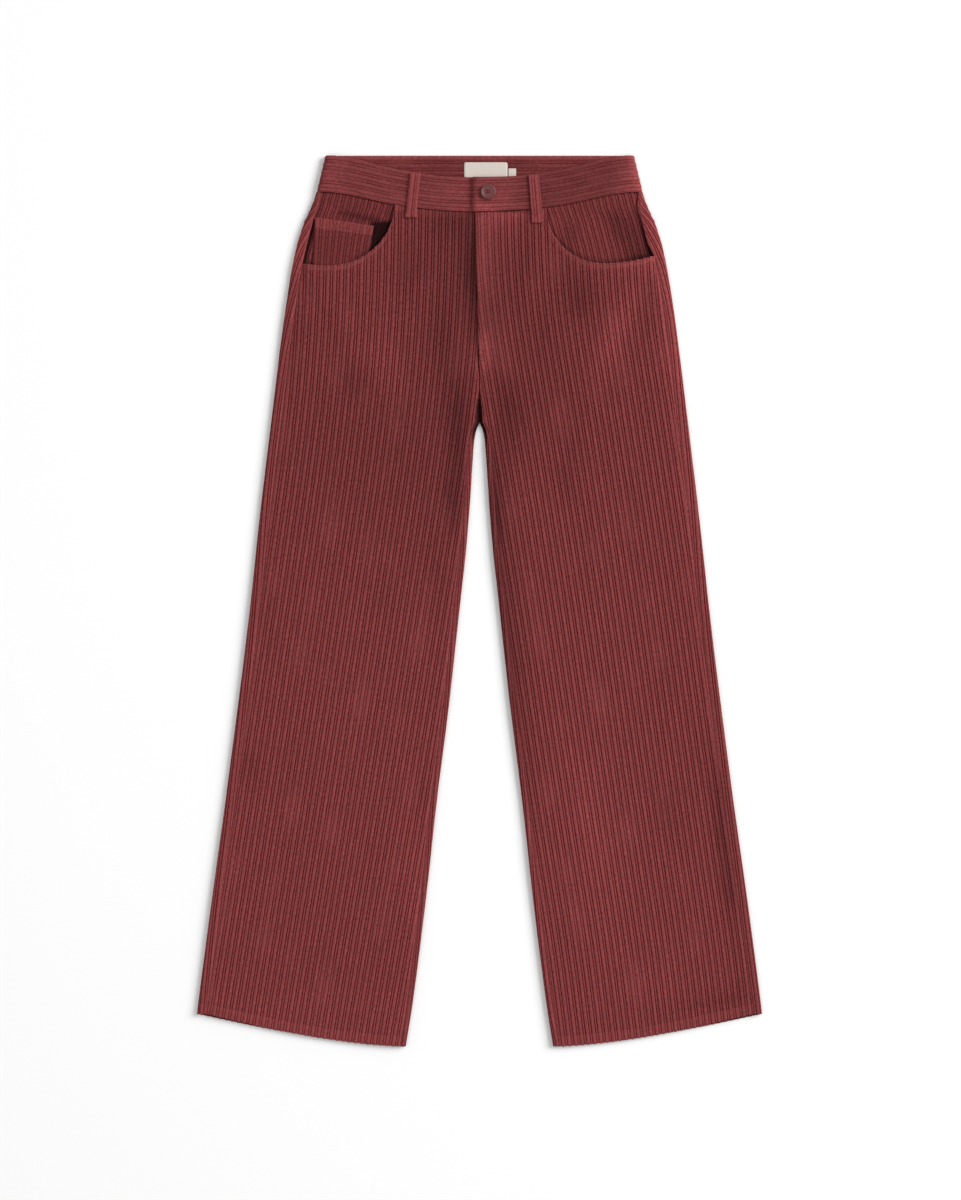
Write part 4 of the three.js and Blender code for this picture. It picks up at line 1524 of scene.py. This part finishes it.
def add_stitch(
    shape: bmesh.types.BMesh, start: Vector, end: Vector, width: float, height: float
) -> None:
    """Add one stitch, a small rounded bar on cloth that faces up.

    Args:
        shape: The mesh that takes it.
        start: Where it comes out of the cloth, in metres.
        end: Where it goes back in, in metres.
        width: Its width in millimetres.
        height: Its height in millimetres.
    """
    along = end - start
    forward = along.normalized()
    aside = UP.cross(forward).normalized()
    raised = forward.cross(aside)
    turn = Matrix((forward, aside, raised)).transposed().to_4x4()
    size = Matrix.Diagonal((along.length / 2 + 0.0001, width * MM / 2, height * MM / 2, 1))
    spot = Matrix.Translation((start + end) / 2)
    bmesh.ops.create_icosphere(shape, subdivisions=1, radius=1.0, matrix=spot @ turn @ size)


@dataclass
class Seamstress:
    """Sews rows of stitches over the cloth."""

    builder: ClothBuilder
    stitch: float = 2.7
    gap: float = 0.9
    width: float = 0.6
    height: float = 0.5
    sink: float = 0.12

    def row(
        self,
        shape: bmesh.types.BMesh,
        line: Sequence[tuple[float, float]],
        height: Callable[[Field, Field], Field],
        sign: float,
    ) -> None:
        """Sew along a line.

        Args:
            shape: The mesh that takes the stitches.
            line: Places on the cloth as x and drop, x counted to the piece's own side.
            height: Gives the cloth's height at a place.
            sign: The side's sign, which x is multiplied by.
        """
        places = np.array(line, dtype=float)
        steps = np.hypot(*np.diff(places, axis=0).T)
        run = np.concatenate([[0.0], np.cumsum(steps)])
        count = max(1, int((run[-1] + self.gap) // (self.stitch + self.gap)))
        starts = np.arange(count) * (run[-1] + self.gap) / count
        for start in starts:
            ends = np.array([start, min(start + self.stitch, run[-1])])
            x = np.interp(ends, run, places[:, 0])
            drop = np.interp(ends, run, places[:, 1])
            z = np.asarray(height(x, drop)) - self.sink
            first, last = (self.builder.point(sign * x[i], drop[i], z[i]) for i in (0, 1))
            add_stitch(shape, first, last, self.width, self.height)


@dataclass(frozen=True)
class Corduroy:
    """The burgundy corduroy: lighter wale tops, dark grooves whose colour is the ground weave with
    painted shade, a brushed nap, and painted light and shade from the tone attribute.
    """

    name: str
    crest: tuple[int, int, int]
    groove: tuple[int, int, int]
    sheen: float = 0.14
    roughness: float = 0.95

    def make(self) -> bpy.types.Material:
        """Build the material on the piece's fabric map and its crush and tone."""
        sketch = NodeSketch(self.name)
        fabric = sketch.add("ShaderNodeUVMap", uv_map="fabric").outputs["UV"]
        crush = sketch.add("ShaderNodeAttribute", attribute_name="crush").outputs["Fac"]
        tone = sketch.add("ShaderNodeAttribute", attribute_name="tone").outputs["Fac"]
        tufts = sketch.noise(fabric, (2300, 1100, 1), detail=2)
        clumps = sketch.noise(fabric, (420, 280, 1), detail=3)
        wear = sketch.noise(fabric, (160, 42, 1), detail=3)
        mask = self.groove_mask(sketch, fabric, crush, clumps, wear)
        # The groove colour is the ground weave darkened with painted shade.
        ramp = sketch.add("ShaderNodeValToRGB")
        ramp.color_ramp.elements[0].position = 0.0
        ramp.color_ramp.elements[0].color = linear(*self.groove)
        ramp.color_ramp.elements[1].position = 1.0
        ramp.color_ramp.elements[1].color = linear(*self.crest)
        sketch.link(mask, ramp.inputs["Fac"])
        grain = sketch.math("MULTIPLY_ADD", tufts, 0.8, 0.6)
        clumped = sketch.math("MULTIPLY_ADD", clumps, 1.1, 0.45)
        brushed = sketch.math("MULTIPLY_ADD", wear, 0.56, 0.72)
        # The tone attribute scales the colour: painted light and shade, with uneven nap.
        toned = sketch.math("MAXIMUM", sketch.math("MULTIPLY_ADD", tone, 0.45, 1.0), 0.08)
        pressed = sketch.math("MULTIPLY_ADD", crush, 0.16, 1.0)
        shade = grain
        for part in (clumped, brushed, toned, pressed):
            shade = sketch.math("MULTIPLY", shade, part)
        tint = sketch.add("ShaderNodeVectorMath", operation="SCALE")
        sketch.link(ramp.outputs["Color"], tint.inputs[0])
        sketch.link(shade, tint.inputs["Scale"])
        height = sketch.math("MULTIPLY_ADD", tufts, 0.35, sketch.math("MULTIPLY", mask, 0.65))
        sketch.bump(height, 0.55, 0.0006)
        sketch.gloss(self.roughness, 0.1)
        shader = sketch.shader
        sketch.link(tint.outputs["Vector"], shader.inputs["Base Color"])
        shader.inputs["Sheen Weight"].default_value = self.sheen
        shader.inputs["Sheen Roughness"].default_value = 0.5
        shader.inputs["Sheen Tint"].default_value = linear(190, 96, 94)
        return sketch.material

    def groove_mask(
        self,
        sketch: NodeSketch,
        fabric: bpy.types.NodeSocket,
        crush: bpy.types.NodeSocket,
        clumps: bpy.types.NodeSocket,
        wear: bpy.types.NodeSocket,
    ) -> bpy.types.NodeSocket:
        """Draw the grooves between the wales, wavering and of uneven depth.

        Args:
            sketch: The material.
            fabric: The fabric's own map, in metres.
            crush: How flat the pile is pressed.
            clumps: Noise as coarse as a few millimetres.
            wear: Noise as coarse as a few centimetres.

        Returns:
            0 in a groove and 1 on a wale.
        """
        across = sketch.add("ShaderNodeSeparateXYZ")
        sketch.link(fabric, across.inputs[0])
        waver = sketch.math("MULTIPLY_ADD", clumps, 0.0011, -0.00055)
        wavering = sketch.math("ADD", across.outputs["X"], waver)
        phase = sketch.math("FRACT", sketch.math("DIVIDE", wavering, Wales.pitch * MM))
        first = sketch.math("MINIMUM", phase, sketch.math("SUBTRACT", 1.0, phase))
        second = sketch.math("ABSOLUTE", sketch.math("SUBTRACT", phase, Wales.wide))
        nearest = sketch.math("MINIMUM", first, sketch.math("ADD", second, 0.012))
        width = sketch.math("MULTIPLY_ADD", wear, 0.17, 0.045)
        share = sketch.math("MINIMUM", sketch.math("DIVIDE", nearest, width), 1.0)
        eased = sketch.math("POWER", share, 1.3)
        pressed = sketch.math("MULTIPLY", crush, 0.75)
        standing = sketch.math("SUBTRACT", 1.0, pressed)
        depth = sketch.math("MULTIPLY", sketch.math("SUBTRACT", 1.0, eased), standing)
        return sketch.math("SUBTRACT", 1.0, depth)


@dataclass(frozen=True)
class Thread:
    """Sewing thread, twisted and a little glossy."""

    name: str
    colour: tuple[int, int, int]

    def make(self) -> bpy.types.Material:
        """Build the material on object coordinates."""
        sketch = NodeSketch(self.name)
        place = sketch.add("ShaderNodeTexCoord")
        twist = sketch.noise(place.outputs["Object"], (2600, 2600, 2600), detail=1)
        shade = sketch.math("MULTIPLY_ADD", twist, 0.5, 0.75)
        sketch.scaled(self.colour, shade)
        sketch.gloss(0.8, 0.15)
        return sketch.material


@dataclass(frozen=True)
class Resin:
    """The button's dull resin, faintly clouded."""

    name: str
    colour: tuple[int, int, int]

    def make(self) -> bpy.types.Material:
        """Build the material on object coordinates."""
        sketch = NodeSketch(self.name)
        place = sketch.add("ShaderNodeTexCoord")
        cloud = sketch.noise(place.outputs["Object"], (220, 330, 220), detail=4)
        shade = sketch.math("MULTIPLY_ADD", cloud, 0.4, 0.8)
        sketch.scaled(self.colour, shade)
        sketch.bump(cloud, 0.1, 0.0001)
        sketch.gloss(0.42, 0.4)
        return sketch.material


@dataclass(frozen=True)
class WovenTape:
    """The cream tape of the tags, in a fine even weave."""

    name: str
    colour: tuple[int, int, int]

    def make(self) -> bpy.types.Material:
        """Build the material on the piece's fabric map."""
        sketch = NodeSketch(self.name)
        fabric = sketch.add("ShaderNodeUVMap", uv_map="fabric")
        waves = []
        for direction in ("X", "Y"):
            wave = sketch.add("ShaderNodeTexWave", wave_type="BANDS", bands_direction=direction)
            wave.inputs["Scale"].default_value = 420
            sketch.link(fabric.outputs["UV"], wave.inputs["Vector"])
            waves.append(wave.outputs["Fac"])
        weave = sketch.math("MULTIPLY", *waves)
        shade = sketch.math("MULTIPLY_ADD", weave, 0.1, 0.93)
        sketch.scaled(self.colour, shade)
        sketch.bump(weave, 0.35, 0.00012)
        sketch.gloss(0.6)
        sketch.shader.inputs["Sheen Weight"].default_value = 0.15
        return sketch.material


class NodeSketch:
    """A material's node tree around one shader."""

    def __init__(self, name: str) -> None:
        """Start a material with its shader."""
        self.material = bpy.data.materials.new(name)
        self.material.use_nodes = True
        self.tree = self.material.node_tree
        self.shader = self.tree.nodes["Principled BSDF"]

    def add(self, kind: str, **settings: object) -> bpy.types.Node:
        """Add a node and set its options."""
        node = self.tree.nodes.new(kind)
        for key, value in settings.items():
            setattr(node, key, value)
        return node

    def link(self, start: bpy.types.NodeSocket, end: bpy.types.NodeSocket) -> None:
        """Link two sockets."""
        self.tree.links.new(start, end)

    def noise(
        self, vector: bpy.types.NodeSocket, stretch: tuple[float, float, float], detail: float
    ) -> bpy.types.NodeSocket:
        """Add noise that a mapping stretches.

        Args:
            vector: The coordinates it follows.
            stretch: How often it repeats in a metre, each way.
            detail: Its octaves.

        Returns:
            The noise's value, around a half.
        """
        mapping = self.add("ShaderNodeMapping")
        mapping.inputs["Scale"].default_value = stretch
        node = self.add("ShaderNodeTexNoise")
        node.inputs["Scale"].default_value = 1.0
        node.inputs["Detail"].default_value = detail
        self.link(vector, mapping.inputs["Vector"])
        self.link(mapping.outputs["Vector"], node.inputs["Vector"])
        return node.outputs["Fac"]

    def math(self, operation: str, *parts: bpy.types.NodeSocket | float) -> bpy.types.NodeSocket:
        """Add a math node on sockets and numbers, and return its value."""
        node = self.add("ShaderNodeMath", operation=operation)
        for index, part in enumerate(parts):
            if isinstance(part, (int, float)):
                node.inputs[index].default_value = part
            else:
                self.link(part, node.inputs[index])
        return node.outputs["Value"]

    def bump(self, height: bpy.types.NodeSocket, strength: float, distance: float) -> None:
        """Raise the surface by a height, over a distance in metres."""
        node = self.add("ShaderNodeBump")
        node.inputs["Strength"].default_value = strength
        node.inputs["Distance"].default_value = distance
        self.link(height, node.inputs["Height"])
        self.link(node.outputs["Normal"], self.shader.inputs["Normal"])

    def gloss(self, roughness: float, specular: float = 0.5) -> None:
        """Set how rough and how glossy the surface is."""
        self.shader.inputs["Roughness"].default_value = roughness
        self.shader.inputs["Specular IOR Level"].default_value = specular

    def scaled(self, colour: tuple[int, int, int], shade: bpy.types.NodeSocket) -> None:
        """Set the base colour, made lighter and darker by a shade."""
        tint = self.add("ShaderNodeVectorMath", operation="SCALE")
        tint.inputs[0].default_value = linear(*colour)[:3]
        self.link(shade, tint.inputs["Scale"])
        self.link(tint.outputs["Vector"], self.shader.inputs["Base Color"])


# The groove colours hold painted shade on top of the ground weave's own colour.
CORDUROY = Corduroy("corduroy", crest=(122, 58, 59), groove=(86, 5, 8))
POCKET_CORDUROY = Corduroy("pocket_corduroy", crest=(119, 55, 56), groove=(82, 5, 8))
BURGUNDY_THREAD = Thread("burgundy_thread", (110, 47, 49))
BUTTON_RESIN = Resin("button_resin", (100, 48, 49))
CREAM_TAPE = WovenTape("woven_tag", (206, 195, 186))


@dataclass
class Studio:
    """The pale floor, the soft lights and the camera straight above."""

    frame_height: float = 1380
    camera_height: float = 3200
    centre: tuple[float, float] = (1.15, 0.9)
    sensor: float = 36
    floor_half: float = 6.0
    floor_drop: float = 0.2
    floor_level: float = 0.905
    sky_strength: float = 0.42

    def floor(self) -> bpy.types.Object:
        """Lay a wide plain floor just under the cloth."""
        shape = bmesh.new()
        bmesh.ops.create_grid(shape, x_segments=1, y_segments=1, size=self.floor_half)
        piece = mesh_piece("floor", shape)
        piece.data.transform(Matrix.Translation((0, 0, -self.floor_drop * MM)))
        sketch = NodeSketch("pale_floor")
        sketch.shader.inputs["Base Color"].default_value = (*[self.floor_level] * 3, 1)
        sketch.gloss(0.9, 0.1)
        piece.data.materials.append(sketch.material)
        return piece

    def light(self, name: str, place: tuple[float, float, float], size: float, watts: float) -> None:
        """Hang a square soft light that points at the middle of the floor."""
        lamp = bpy.data.lights.new(name, "AREA")
        lamp.size = size
        lamp.energy = watts
        lamp_object = bpy.data.objects.new(name, lamp)
        lamp_object.location = place
        lamp_object.rotation_euler = (-Vector(place)).to_track_quat("-Z", "Y").to_euler()
        bpy.context.scene.collection.objects.link(lamp_object)

    def build(self) -> None:
        """Set the floor, lights, surroundings and camera."""
        self.floor()
        self.light("key_light", (5.6, 2.4, 4.4), 4.2, 560)
        self.light("fill_light", (-1.2, -0.4, 3.2), 3.0, 30)
        world = bpy.data.worlds.new("studio")
        world.use_nodes = True
        sky = world.node_tree.nodes["Background"]
        sky.inputs["Color"].default_value = (1.0, 1.0, 1.0, 1)
        sky.inputs["Strength"].default_value = self.sky_strength
        scene = bpy.context.scene
        scene.world = world
        scene.view_settings.view_transform = "Standard"
        camera = bpy.data.cameras.new("camera")
        camera.sensor_width = self.sensor
        camera.lens = self.sensor * self.camera_height / self.frame_height
        camera_object = bpy.data.objects.new("camera", camera)
        camera_object.location = (self.centre[0] * MM, self.centre[1] * MM, self.camera_height * MM)
        scene.collection.objects.link(camera_object)
        scene.camera = camera_object


SIDE_SLACK = 5.0  # how much wider the left back panel shows beside its pocket
# Where the left pocket gapes, the facing sinks and is painted in shade.
FACING_LIP = 4.0  # how far the left pocket gapes at the side seam


@dataclass
class Trousers:
    """The whole garment."""

    block: Block = field(default_factory=Block)
    wales: Wales = Wales()
    hem: Hem = Hem()

    def dress(
        self, piece: bpy.types.Object, material: bpy.types.Material, node: str = ""
    ) -> None:
        """Give a piece its material and slot, and let it ride on the part.

        Args:
            piece: The piece.
            material: Its finish.
            node: The part's node that the piece stands for, if there is one.
        """
        piece.data.materials.append(material)
        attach(piece, "root")
        if node:
            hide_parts(node)
        triangles = sum(len(polygon.vertices) - 2 for polygon in piece.data.polygons)
        LOG.info("%s: %d triangles", piece.name, triangles)

    def build_panels(
        self, builder: ClothBuilder, cloth: bpy.types.Material
    ) -> dict[Side, FrontPanel]:
        """Build both legs' back and front panels, and return the front ones."""
        fronts = {}
        for side in Side:
            slack = SIDE_SLACK if side is Side.LEFT else 0.0
            piece = BackPanel(side, self.block, self.wales, self.hem, slack=slack).build(builder)
            self.dress(piece, cloth, f"back_{side.word}")
            fronts[side] = FrontPanel(side, self.block, self.wales, self.hem)
            piece = fronts[side].build(builder)
            self.dress(piece, cloth, f"front_{side.word}")
            under = [f"back_panel_{side.word}"]
        return fronts

    def build_pockets(self, builder: ClothBuilder, cloth: bpy.types.Material) -> None:
        """Build the facings in both pocket mouths, and the coin pocket on the right one."""
        for side in Side:
            lip = FACING_LIP if side is Side.LEFT else 0.0
            piece = PocketFacing(side, self.block, self.wales, lip=lip).build(builder)
            self.dress(piece, cloth, f"pocket_facing_{side.word}")
            under = [f"back_panel_{side.word}"]
        piece = CoinPocket(self.block, self.wales).build(builder)
        self.dress(piece, cloth, "coin_pocket")
        under = ["pocket_lining_right"]

    def build_band(self, builder: ClothBuilder, cloth: bpy.types.Material) -> Waistband:
        """Build the waistband and return it."""
        band = Waistband(self.block, self.wales)
        piece = band.build(builder)
        self.dress(piece, cloth, "waistband")
        return band

    def build_loops(
        self, builder: ClothBuilder, cloth: bpy.types.Material, band: Waistband
    ) -> None:
        """Build the two belt loops over the waistband."""
        loops = (
            BeltLoop("loop_left", Side.LEFT, self.block, band, x=62, to_x=66.5, drop=23.5, to_drop=78),
            BeltLoop("loop_right", Side.RIGHT, self.block, band, x=73.5, to_x=79, drop=21, to_drop=72),
        )
        for loop in loops:
            piece = loop.build(builder)
            self.dress(piece, cloth, f"belt_{loop.name}")

    def build_tags(self, builder: ClothBuilder) -> None:
        """Build the two blank tags."""
        tape = CREAM_TAPE.make()
        tags = {
            "waist_label": Tag("blank_waist_label", x=7.2, width=50, drop=8, length=27),
            "size_tag": Tag("blank_size_tag", x=37.6, width=8.8, drop=15, length=18, corner=0.6),
        }
        for node, tag in tags.items():
            piece = tag.build(builder)
            self.dress(piece, tape, node)

    def build(self) -> None:
        """Build and dress every piece."""
        builder = ClothBuilder(self.block)
        cloth = CORDUROY.make()
        thread = BURGUNDY_THREAD.make()
        fronts = self.build_panels(builder, cloth)
        band = self.build_band(builder, cloth)
        self.build_pockets(builder, POCKET_CORDUROY.make())
        self.build_loops(builder, cloth, band)
        button = Button()
        self.dress(button.build(builder), BUTTON_RESIN.make(), "button")
        self.dress(button.thread(builder), thread)
        self.build_tags(builder)
        for sew in (self.sew_hems, self.sew_pockets, self.sew_fly):
            self.dress(sew(builder, fronts), thread)

    def sew_hems(self, builder: ClothBuilder, fronts: dict[Side, FrontPanel]) -> bpy.types.Object:
        """Sew a row of stitches along each hem."""
        block = self.block
        shape = bmesh.new()
        for side, front in fronts.items():
            shares = np.linspace(0.0, 1.0, 40)
            drops = block.hem(shares) - self.hem.depth
            x = mix(block.front_inner(side, drops) + 0.5, block.front_outer(drops) - 0.5, shares)
            Seamstress(builder).row(shape, list(zip(x, drops)), front.surface, side.value)
        soften(shape)
        return mesh_piece("hem_stitching", shape)

    def sew_pockets(
        self, builder: ClothBuilder, fronts: dict[Side, FrontPanel]
    ) -> bpy.types.Object:
        """Sew two rows of stitches round each pocket's mouth."""
        shape = bmesh.new()
        for side, front in fronts.items():
            scoop = SCOOPS[side]
            outer = float(self.block.front_outer(np.array(scoop.top + scoop.down - 6)))
            for inset in (1.9, front.mouth_stitch):
                angles = np.linspace(0.12, math.pi / 2, 24)
                arc_x = scoop.x - (scoop.across + inset) * np.cos(angles)
                arc_drop = scoop.top + (scoop.down + inset) * np.sin(angles)
                run_x = np.linspace(scoop.x + 3, outer - 1.5, 12)
                run_drop = scoop.mouth(run_x) + inset
                x = np.concatenate([arc_x, run_x])
                drop = np.concatenate([arc_drop, run_drop])
                Seamstress(builder).row(shape, list(zip(x, drop)), front.surface, side.value)
        soften(shape)
        return mesh_piece("pocket_stitching", shape)

    def sew_fly(self, builder: ClothBuilder, fronts: dict[Side, FrontPanel]) -> bpy.types.Object:
        """Sew the fly's two curved rows, the row at its edge and the bar tack at its end."""
        sewing = Seamstress(builder)
        tack = Seamstress(builder, stitch=7.0, width=0.9, height=0.6)
        surface = fronts[Side.LEFT].surface
        sign = Side.LEFT.value
        shape = bmesh.new()
        for inset in (0.0, 6.0):
            wide = 35.0 - inset
            bend = np.linspace(0, math.pi / 2, 14)
            down = [(wide, 67.0), (wide, 165.0)]
            curve = list(zip(wide * np.cos(bend), 165 + (34 - inset) * np.sin(bend)))
            sewing.row(shape, down + curve[1:], surface, sign)
        sewing.row(shape, [(-3.2, 67), (-1.6, 150), (-0.2, 215)], surface, sign)
        for drop in np.arange(224.0, 237.0, 1.7):
            tack.row(shape, [(0.9, drop), (7.9, drop)], surface, sign)
        soften(shape)
        return mesh_piece("fly_stitching", shape)


def main() -> None:
    """Build the studio and the trousers."""
    logging.basicConfig(level=logging.INFO, format="%(name)s: %(message)s")
    Studio().build()
    Trousers().build()


if __name__ == "__main__":
    main()
